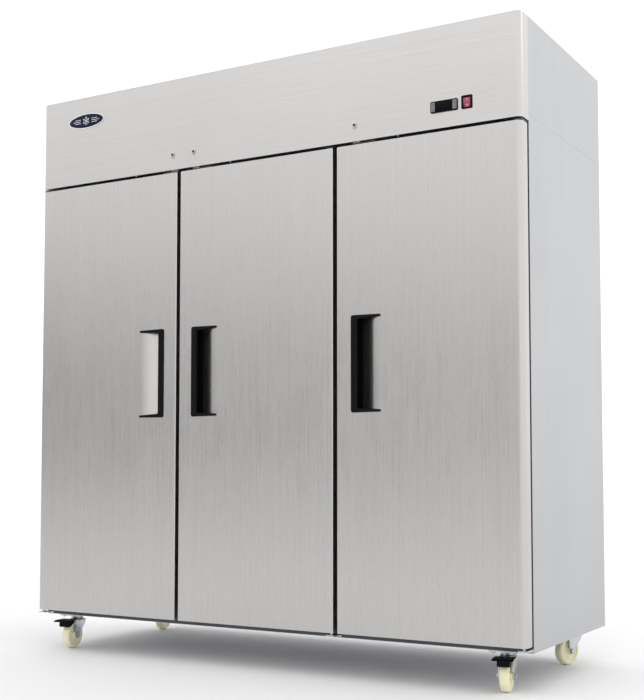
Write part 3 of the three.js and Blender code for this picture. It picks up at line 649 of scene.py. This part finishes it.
def power_switch():
    """Rocker switch: bezel with a deep surround, and a lit red rocker with on and off marks."""
    low, high = node_box("switch_housing")
    x, z = (low[0] + high[0]) / 2, (low[2] + high[2]) / 2
    bezel = plate(facade(low, high, 3), 2.5, -0.1, 0.8)
    shell = block(new(), x - 14, x + 14, FRONT - 0.1, FRONT + 28, z - 19, z + 19, 0.8)
    bezel, shell = (carved(form, through(rectangle(x - 12, x + 12, z - 17, z + 17, 1), 8, 16))
                    for form in (bezel, shell))
    piece("switch_surround", join(bezel, shell), "black_moulding", "cabinet", ["switch_housing"])
    place = Matrix.Translation(joint_place("switch_rock")[0]) @ spin(math.radians(8), "X")
    outline = fillet([(-5.6, -15, 1), (-8.3, 0, 14), (-5.6, 15, 1), (2.5, 15, 1), (5, 6, 2), (5, -6, 2),
                      (2.5, -15, 1)], 8)
    rocker = moved(prism(new(), outline, "x", -11.6, 11.6, 0.5), place)
    piece("switch_rocker_cap", rocker, "rocker_red", "switch_rocker", ["switch_rocker"])
    marks = new()
    slope = math.atan2(2.7, 15)  # each half of the rocker's face leans back by this much
    bar = block(new(), -0.6, 0.6, -0.35, 0.35, -2.5, 2.5, 0.1)
    join(marks, moved(bar, shift(0, -6.8, 8.9) @ spin(-slope, "X")))
    seat = Vector((0, -6.45, -8.55))
    out = Vector((0, -math.cos(slope), -math.sin(slope)))
    washer(marks, 1.9, 2.8, 0.7, aligned(seat, seat + out))
    piece("switch_rocker_marks", moved(marks, place), "rocker_red", "switch_rocker", material=MARK_WHITE)


# ---- doors
HANDLE_BAR = 23  # width of the pull's bar
POCKET_DEPTH = 38
POCKET_END = 20  # the recess floor starts to rise at this distance from the pull's edge
PIN_CLEAR = 4.5  # radius of the holes for the hinge pins
NARROW_NOSE = 4  # front corners between two doors


class Door:
    """Places on one door: u runs from the free edge to the hinge edge, y back from the front."""

    def __init__(self, key):
        self.key = key
        self.body = f"door_{key}"
        self.low, self.high = node_box(f"door_{key}_skin")
        self.free, self.hinge = (self.high[0], self.low[0]) if key == "left" else (self.low[0], self.high[0])
        self.turn = 1 if self.hinge > self.free else -1
        grip_low, grip_high = node_box(f"door_{key}_handle")
        self.u0, self.u1 = sorted(abs(v - self.free) for v in (grip_low[0], grip_high[0]))
        self.z0, self.z1 = grip_low[2], grip_high[2]

    def x(self, u):
        return self.free + self.turn * u

    def xs(self, u0, u1):
        return sorted((self.x(u0), self.x(u1)))

    def plan(self, points):
        return [(self.x(u), FRONT + y) for u, y in points]

    def ramp(self, steps):
        """Recess floor, from its deep end by the bar to the door's face."""
        start = self.u0 + POCKET_END
        span = self.u1 - self.u0 - POCKET_END
        return [(start + span * t, POCKET_DEPTH * (0.5 + 0.5 * math.cos(math.pi * t ** 0.85)))
                for t in (k / steps for k in range(steps + 1))]


def door_skin(d):
    """Outer pan with the handle recess."""
    nose = [BULLNOSE if abs(x) > SIDE - 1 else NARROW_NOSE for x in (d.low[0], d.high[0])]
    outer, inner = pan(d.low, d.high, *nose)
    hole = through(rectangle(*d.xs(d.u0 + 2, d.u1 - 0.4), d.z0 + 2, d.z1 - 2, 3))
    pin = circle(*joint_place(f"{d.body}_hinge")[0][:2], PIN_CLEAR, 24)
    pins = [prism(new(), pin, "z", z - CUT, z + CUT) for z in (d.low[2], d.high[2])]
    cam_slot = block(new(), *cam_span(d.key, 8, 45), *CAM_SWEEP, d.high[2] - CUT, d.high[2] + CUT)
    skin = carved(outer, inner, hole, *pins, cam_slot)
    line = [(d.u0 + 3, POCKET_DEPTH), *d.ramp(28)]
    floor = d.plan(line + [(u, y + SHEET) for u, y in reversed(line)])
    prism(skin, floor, "z", d.z0 + 1, d.z1 - 1)
    piece(f"{d.body}_outer_pan", skin, "brushed_door", d.body, [f"{d.body}_skin"], angle=25)


def door_pull(d):
    """Moulded pull: flanged bar and arms, and the pocket's inner walls."""
    lo, hi = d.z0, d.z1
    u0, u1, bar = d.u0, d.u1, d.u0 + HANDLE_BAR
    corners = [(u0, lo, 7), (u1, lo + 1.5, 2.5), (u1, lo + 9, 2.5), (bar, lo + 13.5, 4),
               (bar, hi - 13.5, 4), (u1, hi - 9, 2.5), (u1, hi - 1.5, 2.5), (u0, hi, 7)]
    pull = plate([(d.x(u), z) for u, z in fillet(corners, 6)], 3, FIT, 1.3, 4)
    grip = [(u0 + 2.4, -1, 0), (bar, -1, 0), (bar, 5.5, 2.6), (bar - 6, 5.5, 2.6), (bar - 6, 2, 0),
            (u0 + 2.4, 2, 0)]
    prism(pull, d.plan(fillet(grip, 4)), "z", lo + 4.9, hi - 4.9)
    deep = POCKET_DEPTH - 0.5
    clear = [(u - 0.6, y - 0.5) for u, y in d.ramp(20) if u - 0.6 < u1 - 3 and y > 0.5]
    wall = [(u0 + 2.3, -1), (u1 - 3, -1), *reversed(clear), (u0 + 5, deep), (u0 + 2.3, deep)]
    for z in (lo + 2.3, hi - 5):
        prism(pull, d.plan(wall), "z", z, z + 2.7)
    # Black strip over the recess floor's deep end by the bar: partly the pull's black moulding, partly
    # painted shade where the bar shadows the pocket.
    bar_side_shade_lining = [(u0 + 4, POCKET_DEPTH), *[p for p in d.ramp(28) if p[0] < u0 + 27]]
    strip = [(u, y - 1.4) for u, y in bar_side_shade_lining] + [(u, y - 0.5) for u, y in reversed(bar_side_shade_lining)]
    prism(pull, d.plan(strip), "z", lo + 2.5, hi - 2.5)
    block(pull, *d.xs(u0 + 2.3, u0 + 4.6), FRONT - 1, FRONT + deep, lo + 2.3, hi - 2.3)
    piece(f"{d.body}_pull", pull, "black_moulding", d.body, [f"{d.body}_handle"])


def door_liner(d):
    """Inner pan: recess inside the gasket's rim, left raised behind the pull, whose pocket it clears."""
    low, high = node_box(f"{d.body}_liner")
    rim, notch = 74, 14
    u0, u1 = rim, abs(d.hinge - d.free) - rim
    z0, z1 = d.low[2] + rim, d.high[2] - rim
    n0, n1, nu = d.z0 - notch, d.z1 + notch, d.u1 + notch
    corners = [(u0, z0, 18), (u1, z0, 18), (u1, z1, 18), (u0, z1, 18),
               (u0, n1, 8), (nu, n1, 14), (nu, n0, 14), (u0, n0, 8)]
    outline = [(d.x(u), z) for u, z in fillet(corners, 6)]
    liner = carved(prism(new(), facade(low, high, 4), "y", low[1], high[1]),
                   prism(new(), outline, "y", low[1] + 2, high[1] + CUT),
                   block(new(), *d.xs(8, nu - 3), low[1] - CUT, high[1] - 2.4, n0 + 3, n1 - 3))
    soften(piece(f"{d.body}_inner_pan", liner, "door_liner", d.body, [f"{d.body}_liner"]), 3, 3)


GASKET_PROFILE = [(0.6, 0), (13.4, 0), (13.4, 2.4), (10.6, 3.4), (12.4, 5.6), (10.8, 7.8), (13.2, 9.0),
                  (13.4, 12.2), (12.4, 13.4), (1.6, 13.4), (0.6, 12.2), (0.8, 9.0), (3.2, 7.8), (1.6, 5.6),
                  (3.4, 3.4), (0.6, 2.4)]  # width from the outer edge, and distance behind the door


def door_gasket(d):
    """Bellows gasket with mitred corners."""
    low, high = node_box(f"{d.body}_gasket")
    mesh, rings = new(), []
    for a, b in ((low, low), (high, low), (high, high), (low, high)):
        sx, sz = (1 if side is low else -1 for side in (a, b))
        rings.append([mesh.verts.new((a[0] + sx * w, low[1] + y, b[2] + sz * w)) for w, y in GASKET_PROFILE])
    for i in range(4):
        bridge(mesh, rings[i], rings[(i + 1) % 4])
    piece(f"{d.body}_seal", mesh, "gasket", d.body, [f"{d.body}_gasket"])


# ---- hinges and small front fittings
def bottom_hinge(key):
    """Folded bracket with its pin, collar and two screws."""
    low, high = node_box(f"hinge_bottom_{key}")
    x, y, _ = joint_place(f"door_{key}_hinge")[0]
    z = high[2] - 20  # top of the bracket's shelf
    outline = fillet([(low[1], z, 0.5), (high[1], z, 0.5), (high[1], low[2], 0.5), (high[1] - 3, low[2], 0.5),
                      (high[1] - 3, z - 4, 1.5), (low[1], z - 4, 0.5)], 3)
    bracket = prism(new(), outline, "x", low[0], high[0], 0.6)
    rod(bracket, (x, y, z - 1), (x, y, high[2]), 4, 20, 0.6)
    washer(bracket, 4, 7, 1.2, shift(x, y, z))
    for dx in (-8, 8):
        hexagon(bracket, (x + dx, high[1] - 3, low[2] + 8), (x + dx, high[1] - 6, low[2] + 8), 4)
    piece(f"hinge_bottom_{key}_bracket", bracket, "zinc", "cabinet", [f"hinge_bottom_{key}"])


FOLD_SCREWS = (-530, -361, -106, 413, 558)


def gap_fittings():
    """Screw heads and cam guides under the header's lower fold, seen in the gap over the doors."""
    z = HEADER_LOW[2]
    for key in LOCKS:
        guide = block(new(), *cam_span(key, 14, 16), FRONT + 13, FRONT + 19, z - 2.2, z - 0.1, 0.5)
        piece(f"lock_{key}_guide", guide, "zinc")
    screws, head = new(), [(0, 0), (4.2, 0), (3.4, -1.8), (1.4, -2.5), (0, -2.5)]
    for x in FOLD_SCREWS:
        turned(screws, head, shift(x, FRONT + 12, z - 0.1), 20)
    piece("header_fold_screws", screws, "zinc")


# ---- casters
WHEEL_RADIUS = 50
TRAIL = 32  # from the swivel's axis back to the axle
HEAD = 20  # height of the swivel head
BOLTS = (36, 32)  # half the spacing of the mounting bolts
SHOE_GAP = 1.2  # between the brake's shoe and the wheel


def caster(key):
    """Swivel fork, axle bolt, ribbed nylon wheel, and a brake pedal on the front two."""
    node = f"caster_{key}"
    centre = joint_place(f"{node}_swivel")[0]
    axis = joint_place(f"wheel_{key}_spin")[1]
    turn = math.atan2(axis.y, axis.x)
    if abs(turn) > math.pi / 2:
        turn -= math.copysign(math.pi, turn)
    place = shift(centre.x, centre.y, 0) @ spin(turn, "Z")
    top, wy, wz = BASE - HEAD, -TRAIL, WHEEL_RADIUS

    def axle(x):
        return x, wy, wz

    # Swivel head with its ball race, crown and legs.
    fork = turned(new(), [(6.3, top - 1), (25, top - 1), (25.4, top + 1.5), (24, top + 4), (20, top + 5.5),
                          (20, top + 7), (24, top + 8), (24, BASE - 7), (22.5, BASE - 5.4),
                          (6.3, BASE - 5.4)], steps=36)
    prism(fork, rectangle(-25, 25, -42, 26, 9), "z", top - 3, top, 0.8)
    leg = fillet([(22, top, 2), (19, top - 12, 12), (wy + 11, wz + 2, 8), (wy + 10, wz - 11, 9),
                  (wy - 10, wz - 11, 9), (wy - 11, wz + 2, 8), (-45, top - 20, 10), (-54, top - 11, 5),
                  (-54, top, 2)])
    for x in (-25, 21.5):
        prism(fork, leg, "x", x, x + 3.5, 0.8)
    rod(fork, axle(-29.6), axle(29.6), 4.6, 20, 0.5)
    for side in (-1, 1):
        hexagon(fork, axle(side * 25), axle(side * 29.9), 9)
        washer(fork, 5, 11, 0.9, aligned(axle(side * 24.9), axle(side * 26)), 28)
    piece(f"{node}_swivel_fork", moved(fork, place), "zinc", node, [f"{node}_fork"])

    # Half of the wheel's section: hub, stepped face rings and crowned tread.
    half = [(5.4, 20.4), (12, 20.4), (13.4, 19), (13.6, 11.6), (15, 10.6), (24, 10.6), (25, 12.2), (27, 12.2),
            (28, 10.8), (35, 10.8), (36.4, 14.4), (38, 15.9), (41.5, 15.9)]
    for k in range(8):
        t = math.radians(10 + 80 * k / 8)
        half.append((41.5 + 8.5 * math.sin(t) ** 1.1, 15.9 * math.cos(t) ** 0.55))
    section = [*half, (wz, 0), *((r, -h) for r, h in reversed(half))]
    wheel = turned(new(), section, shift(*axle(0)) @ spin(math.pi / 2, "Y"), 64)
    piece(f"{node}_tyre", moved(wheel, place), "nylon", f"wheel_{key}", [f"{node}_wheel"])

    if key.startswith("front"):
        pedal = moved(brake_pedal(top, wy, wz), place)
        piece(f"{node}_pedal", pedal, "black_moulding", f"brake_{key}", [f"{node}_brake"])

    bolts = new()
    for x in (centre.x - BOLTS[0], centre.x + BOLTS[0]):
        for y in (centre.y - BOLTS[1], centre.y + BOLTS[1]):
            hexagon(bolts, (x, y, BASE - 4.8), (x, y, BASE - 10), 6.5)
            washer(bolts, 3, 8.5, -1, shift(x, y, BASE - 5))
    piece(f"{node}_bolts", bolts, "zinc")


def brake_pedal(top, wy, wz):
    """Ribbed pedal, and the shoe that it presses onto the wheel."""
    reach = WHEEL_RADIUS + SHOE_GAP
    arc = [(wy - reach * math.sin(t), wz + reach * math.cos(t))
           for t in (0.38 + 0.44 * k / 8 for k in range(9))]
    shoe = [(-45, top + 2), (-45, top - 6.5), *arc, (-88, BASE - 42), (-89.5, BASE - 38), (-88, top + 2)]
    pedal = prism(new(), shoe, "x", -20, 20, 0.8)
    tread = fillet([(-45, top + 1.5, 0), (-96, top + 1.5, 4), (-108, top - 2.3, 0.8),
                    (-108.4, top - 0.4, 0.8), (-96.5, top + 4, 5), (-45, top + 4, 0)], 4)
    prism(pedal, tread, "x", -33, 33, 0.7)
    for k in range(4):
        y, z = -100 + 2.6 * k, top + 2.6 - 0.8 * (3 - k)
        rod(pedal, (-28, y, z), (28, y, z), 0.9, 8, 0.3)
    return rod(pedal, (-26.5, -48, top - 4.5), (26.5, -48, top - 4.5), 3, 16, 0.4)


# ---- shelves
WIRE_PITCH = 25


def shelf(node):
    """Wire shelf: perimeter rod, two stretchers and close wires on top."""
    low, high = node_box(node)
    x0, x1 = low[0] + 3, high[0] - 3
    path = [Vector((x, y, low[2] + 3)) for x, y in rectangle(x0, x1, low[1] + 3, high[1] - 3, 9, 4)]
    mesh = tube(new(), path, 3, 10, True)
    for share in (0.32, 0.68):
        y, z = low[1] + (high[1] - low[1]) * share, low[2] + 2.4
        rod(mesh, (x0, y, z), (x1, y, z), 2.3, 8)
    count = round((high[0] - low[0]) / WIRE_PITCH)
    for k in range(1, count):
        x, z = low[0] + (high[0] - low[0]) * k / count, high[2] - 1.5
        rod(mesh, (x, low[1] + 2, z), (x, high[1] - 2, z), 1.45, 8)
    piece(f"{node}_wires", mesh, "shelf_wire", "cabinet", [node])


# ---- refrigeration unit
def fan(node, blades, hub, reach, pitch):
    """Axial fan with swept blades, turned about the fan's own shaft."""
    centre = joint_place(f"{node}_spin")[0]
    low, high = node_box(node)
    depth = (high[1] - low[1]) / 2
    profile = [(0, -depth), (hub * 0.7, -depth), (hub, -depth + 3), (hub, depth - 2), (hub - 2, depth),
               (0, depth)]
    mesh = turned(new(), profile, aligned(centre, centre - Vector((0, 1, 0))))
    rows, columns, half = 8, 6, 0.9
    points = {}

    def quad(*keys):
        mesh.faces.new([points[key] for key in keys])

    for b in range(blades):
        for layer in (-half, half):
            for i in range(rows + 1):
                radius = hub - 2 + (reach - hub + 2) * i / rows
                swing = 0.62 + 0.25 * math.sin(math.pi * i / rows)
                for j in range(columns + 1):
                    across = (j / columns - 0.5) * swing
                    angle = 2 * math.pi * b / blades + across + 0.28 * (i / rows) ** 2
                    lift = across * pitch + layer + 3.0 * (across * 2) ** 2
                    x, z = centre.x + radius * math.sin(angle), centre.z + radius * math.cos(angle)
                    points[layer, i, j] = mesh.verts.new((x, centre.y + lift, z))
        for i in range(rows):
            for j in range(columns):
                for layer in (-half, half):
                    quad((layer, i, j), (layer, i + 1, j), (layer, i + 1, j + 1), (layer, i, j + 1))
            for j in (0, columns):
                quad((-half, i, j), (-half, i + 1, j), (half, i + 1, j), (half, i, j))
        for j in range(columns):
            for i in (0, rows):
                quad((-half, i, j), (-half, i, j + 1), (half, i, j + 1), (half, i, j))
    piece(f"{node}_blades", mesh, "fan_plastic", node, [node])


def guard(name, centre, radius, rings):
    """Wire guard of rings on four arms across."""
    mesh, (cx, y, cz) = new(), centre
    for k in range(rings):
        ring = circle(cx, cz, radius * (k + 1) / rings, 48)
        tube(mesh, [Vector((x, y, z)) for x, z in ring], 1.1, 6, True)
    mid = Vector((cx, y - 1.6, cz))
    for k in range(4):
        t = math.pi * k / 4 + math.pi / 8
        side = Vector((math.cos(t), 0, math.sin(t))) * radius
        rod(mesh, mid - side, mid + side, 1.3, 6)
    piece(name, mesh, "zinc")


def fins(x0, x1, y0, y1, z0, z1, pitch):
    """Thin sheets at a pitch along x."""
    mesh = new()
    for k in range(int((x1 - x0) / pitch) + 1):
        x = x0 + k * pitch
        block(mesh, x, x + 0.5, y0, y1, z0, z1)
    return mesh


COIL_DEPTH = 66
SHROUD_DEPTH = 64


def condenser():
    """Shroud with its duct ring, finned coil with copper return bends, motor and guard."""
    low, high = node_box("condenser")
    centre = joint_place("condenser_fan_spin")[0]
    face = high[1] - COIL_DEPTH

    def at(back, dx=0, dz=0):
        return centre.x + dx, face + back, centre.z + dz

    shroud, inner = open_box((low[0], face - SHROUD_DEPTH, low[2]), (high[0], face, high[2]), 1.5)
    mouth = prism(new(), circle(centre.x, centre.z, 113, 64), "y", face - 80, face - 50)
    shroud = carved(shroud, inner, mouth)
    ring = [(113, 0), (116, 0), (116, 18), (118, 20.5), (117, 20.9), (113, 18.5)]
    turned(shroud, ring, aligned(at(-63), (centre.x, low[1], centre.z)), 64)
    for dx in (-196, 196):
        for dz in (60, -60):
            rod(shroud, at(-28), at(-28, dx, dz), 2.6, 8)
    piece("condenser_shroud", shroud, "zinc", "cabinet", ["condenser"])
    coil = fins(low[0] + 10, high[0] - 10, face + 2, high[1] - 2, low[2] + 3, high[2] - 3, 4)
    piece("condenser_fins", coil, "aluminium")
    plates = new()
    for x in (low[0] + 6, high[0] - 7.6):
        block(plates, x, x + 1.6, face + 0.5, high[1] - 0.5, low[2] + 1, high[2] - 1, 0.4)
    piece("condenser_end_plates", plates, "aluminium")
    bends = new()
    x0, x1, y0, y1 = low[0] + 5, high[0] - 5, face + 18, face + 46
    for k in range(9):
        z = low[2] + 20 + (high[2] - low[2] - 40) * k / 8
        for y in (y0, y1):
            rod(bends, (x0, y, z), (x1, y, z), 4, 10)
        for x, out in ((x0, x0 - 4.2), (x1, x1 + 4.2)):
            tube(bends, bent([(x, y0, z), (out, y0, z), (out, y1, z), (x, y1, z)], 12), 3.6, 10)
    piece("condenser_tubes", bends, "zinc", material=COPPER)
    motor = rod(new(), at(-52), at(-4), 34, 40, 4)
    rod(motor, at(-60), at(-50), 4, 16)
    for x, z in circle(centre.x, centre.z, 33.6, 12):
        rod(motor, (x, face - 46, z), (x, face - 10, z), 1.4, 6)
    piece("condenser_motor", motor, "black_paint")
    guard("condenser_guard", (centre.x, low[1] + 1.6, centre.z), 112, 7)


COMPRESSOR_PLACE = (-420, 60)


def compressor():
    """Welded shell on a base plate with rubber feet, terminal box, and copper pipes."""
    (cx, cy), foot = COMPRESSOR_PLACE, node_box("compressor")[0][2]

    def at(x, y, z):
        return cx + x, cy + y, foot + z

    body = [(0, 17), (80, 17), (90, 20), (95, 30), (96, 44), (96, 104), (99, 105), (99, 110), (96, 111),
            (95, 122)]
    for k in range(1, 9):
        angle = math.pi / 2 * k / 8
        body.append((95 * math.cos(angle) ** 0.8 if k < 8 else 0, 122 + 79 * math.sin(angle)))
    shell = turned(new(), body, shift(cx, cy, foot), 56)
    prism(shell, rectangle(cx - 105, cx + 105, cy - 70, cy + 70, 14), "z", foot + 12, foot + 17, 1)
    piece("compressor_shell", shell, "black_paint", "cabinet", ["compressor"])
    box = block(new(), cx + 86, cx + 115.5, cy - 31, cy + 31, foot + 60, foot + 130, 4, 3)
    piece("compressor_terminal_box", box, "black_moulding")
    feet = new()
    profile = [(4.5, 0), (11, 0), (12, 2), (10, 6), (12, 10), (12, 20), (10, 22), (4.5, 22)]
    for x in (-88, 88):
        for y in (-55, 55):
            turned(feet, profile, shift(*at(x, y, 0)), 28)
    piece("compressor_feet", feet, "gasket")
    pipes = new()
    suction = [at(-60, 74, 66), at(-60, 98, 66), at(-60, 98, 168), at(160, 98, 168), at(160, 98, 1)]
    tube(pipes, bent(suction, 20), 5.5, 12)
    discharge = [at(20, -84, 64), at(20, -103, 64), at(20, -103, 148), at(190, -103, 148), at(190, 104, 148),
                 at(190, 104, 246), at(276, 104, 246)]
    tube(pipes, bent(discharge, 18), 4.2, 12)
    piece("compressor_pipes", pipes, "zinc", material=COPPER)
    drier = rod(new(), at(190, 104, 160), at(190, 104, 225), 11, 24, 5)
    piece("filter_drier", drier, "zinc", material=COPPER)


def evaporator():
    """Housing under the ceiling with its louvres, coil, motor and fan guard."""
    low, high = node_box("evaporator")
    z = joint_place("evaporator_fan_spin")[0].z

    def at(back):
        return 0, low[1] + back, z

    shell, inner = open_box(low, high, 2.5)
    mouth = prism(new(), circle(0, z, 74, 56), "y", low[1] - CUT, low[1] + 8)
    louvres = [block(new(), x - 10, x + 10, low[1] - CUT, low[1] + CUT, low[2] + 12, low[2] + 15)
               for x in range(-160, 177, 42) if abs(x) > 60]
    piece("evaporator_housing", carved(shell, inner, mouth, *louvres), "aluminium", "cabinet", ["evaporator"])
    coil = fins(low[0] + 12, high[0] - 12, low[1] + 122, low[1] + 178, low[2] + 6, high[2] - 6, 5)
    piece("evaporator_fins", coil, "aluminium")
    tubes = new()
    for k in range(5):
        row = low[2] + 24 + 30 * k
        for y in (low[1] + 138, low[1] + 164):
            rod(tubes, (low[0] + 6, y, row), (high[0] - 6, y, row), 4, 10)
    piece("evaporator_tubes", tubes, "zinc", material=COPPER)
    motor = rod(new(), at(60), at(118), 24, 32, 3)
    rod(motor, at(52), at(62), 3, 12)
    for x in (-90, 20):
        block(motor, x, x + 70, low[1] + 108, low[1] + 112, z - 8, z + 8, 0.5)
    piece("evaporator_motor", motor, "fan_plastic")
    guard("evaporator_guard", at(4), 72, 5)


# ---- inside fittings
PILASTER = 9  # how far the shelf uprights stand out of the liner's walls
SLOT_MARGIN, SLOT_STEP = 45, 25


def pilaster_slot_shades():
    """Slots along the shelf uprights, drawn as thin black patches: painted shade for the hollow seen through
    each punched slot.
    """
    low, high = node_box("inner_liner")
    mesh = new()
    x = high[0] - SHEET - PILASTER - 0.2
    z = low[2] + SLOT_MARGIN
    while z < high[2] - SLOT_MARGIN:
        for ends in ((-x, -x + 0.4), (x - 0.4, x)):
            for y in (CAB + 105, high[1] - 95):
                block(mesh, *ends, y - 5, y + 5, z - 2, z + 2)
        z += SLOT_STEP
    # The black patches paint the shade inside the slots; no hole is cut.
    piece("pilaster_slot_shades", mesh, "frame", material=PRINT_AND_SHADE_BLACK)


# ---- build
header()
badge()
controller()
for button in BUTTONS:
    controller_button(button)
power_switch()
for side in LOCKS:
    lock(side)
    bottom_hinge(side)
    door = Door(side)
    door_skin(door)
    door_pull(door)
    door_liner(door)
    door_gasket(door)
gap_fittings()
for corner in ("front_left", "front_right", "rear_left", "rear_right"):
    caster(corner)
for bay in LOCKS:
    for level in (1, 2, 3):
        shelf(f"shelf_{bay}_{level}")
condenser()
compressor()
evaporator()
fan("condenser_fan", 5, 26, 103, 34)
fan("evaporator_fan", 4, 18, 65, 26)
pilaster_slot_shades()

KEPT = (  # nodes shown as they are: finish, width of the soft edges, and names
    ("side_steel", 0.4, "side_panel_left", "side_panel_right", "back_panel", "header_side_left",
     "header_side_right"),
    ("zinc", 0.4, "base_panel"), ("foam", 1.5, "insulation"), ("inner_steel", 0.4, "inner_liner"),
    ("frame", 0.5, "front_frame"), ("zinc", 0.5, "unit_tray"),
)
for slot, width, *nodes in KEPT:
    for node in nodes:
        obj = frame["nodes"][node]
        obj.data.materials.clear()
        obj.data.materials.append(FINISHES[slot])
        soften(obj, width)

# ---- studio, in metres
CAMERA_PLACE = (2.2548, -3.7974, 0.7031)
CAMERA_YAW = 30.17  # degrees to the left of straight back
CAMERA_PITCH = 3.28  # degrees up
SENSOR = 36
FOCAL = 60.7
RISE = 0.0668  # the lens is shifted up so that the uprights stay nearly parallel
FLOOR_REACH = 30
FLOOR_TONES = ((0.84, 0.84, 0.84), (0.87, 0.87, 0.87))
WORLD_TOP = 1.22
WORLD_FRONT = ((-0.8, -0.6, 0), -0.1, 1.1, 0.0, 1.0)  # direction, start, end, and the values there
WORLD_RISE = ((0, 0, 1), -0.02, 0.25, 1.15, 0.0)  # how much darker the front is, from low down to high up
KEY = ((3.6, 1.2, 4.4), (0.6, -0.4, 0.6), (3.0, 3.0), 20)  # place, target, size and power
OVERHEAD = ((0, -2.6, 4.2), (0, -0.4, 1.6), (4.0, 1.6), 8)


def make_camera():
    data = bpy.data.cameras.new("camera")
    data.sensor_width = SENSOR
    data.lens = FOCAL
    data.shift_y = RISE
    camera = add_object("camera", data)
    camera.location = CAMERA_PLACE
    camera.rotation_euler = (math.radians(90 + CAMERA_PITCH), 0, math.radians(CAMERA_YAW))
    SCENE.camera = camera


def make_floor():
    data = bpy.data.meshes.new("floor")
    outline = rectangle(-FLOOR_REACH, FLOOR_REACH, -FLOOR_REACH, FLOOR_REACH)
    data.from_pydata([(x, y, 0) for x, y in outline], [], [(0, 1, 2, 3)])
    n = finish_nodes("floor")
    data.materials.append(n.finish({"Base Color": n.tone(n.noise(0.8), *FLOOR_TONES), "Roughness": 0.8}))
    add_object("floor", data)


def make_light(name, place, target, size, power):
    data = bpy.data.lights.new(name, "AREA")
    data.shape = "RECTANGLE"
    data.size, data.size_y = size
    data.energy = power
    lamp = add_object(name, data)
    lamp.location = place
    lamp.rotation_euler = (Vector(target) - Vector(place)).to_track_quat("-Z", "Y").to_euler()


def make_world():
    """Soft surround: white behind the object and overhead, and greyer low down at the front left."""
    world = bpy.data.worlds.new("studio")
    SCENE.world = world
    n = Nodes(world, "Background", "Generated")

    def facing(direction, start, end, low, high):
        """Value that goes from low to high as the view turns towards a direction."""
        return n.spread(n.dot(n.place, direction), low, high, start, end, interpolation_type="SMOOTHSTEP")

    darker = n.sum(facing(*WORLD_FRONT), facing(*WORLD_RISE), "MULTIPLY")
    n.finish({"Color": (1, 1, 1, 1), "Strength": n.sum(WORLD_TOP, darker, "SUBTRACT")})


make_camera()
make_floor()
make_world()
make_light("key", *KEY)
make_light("overhead", *OVERHEAD)
SCENE.view_settings.view_transform = "Standard"
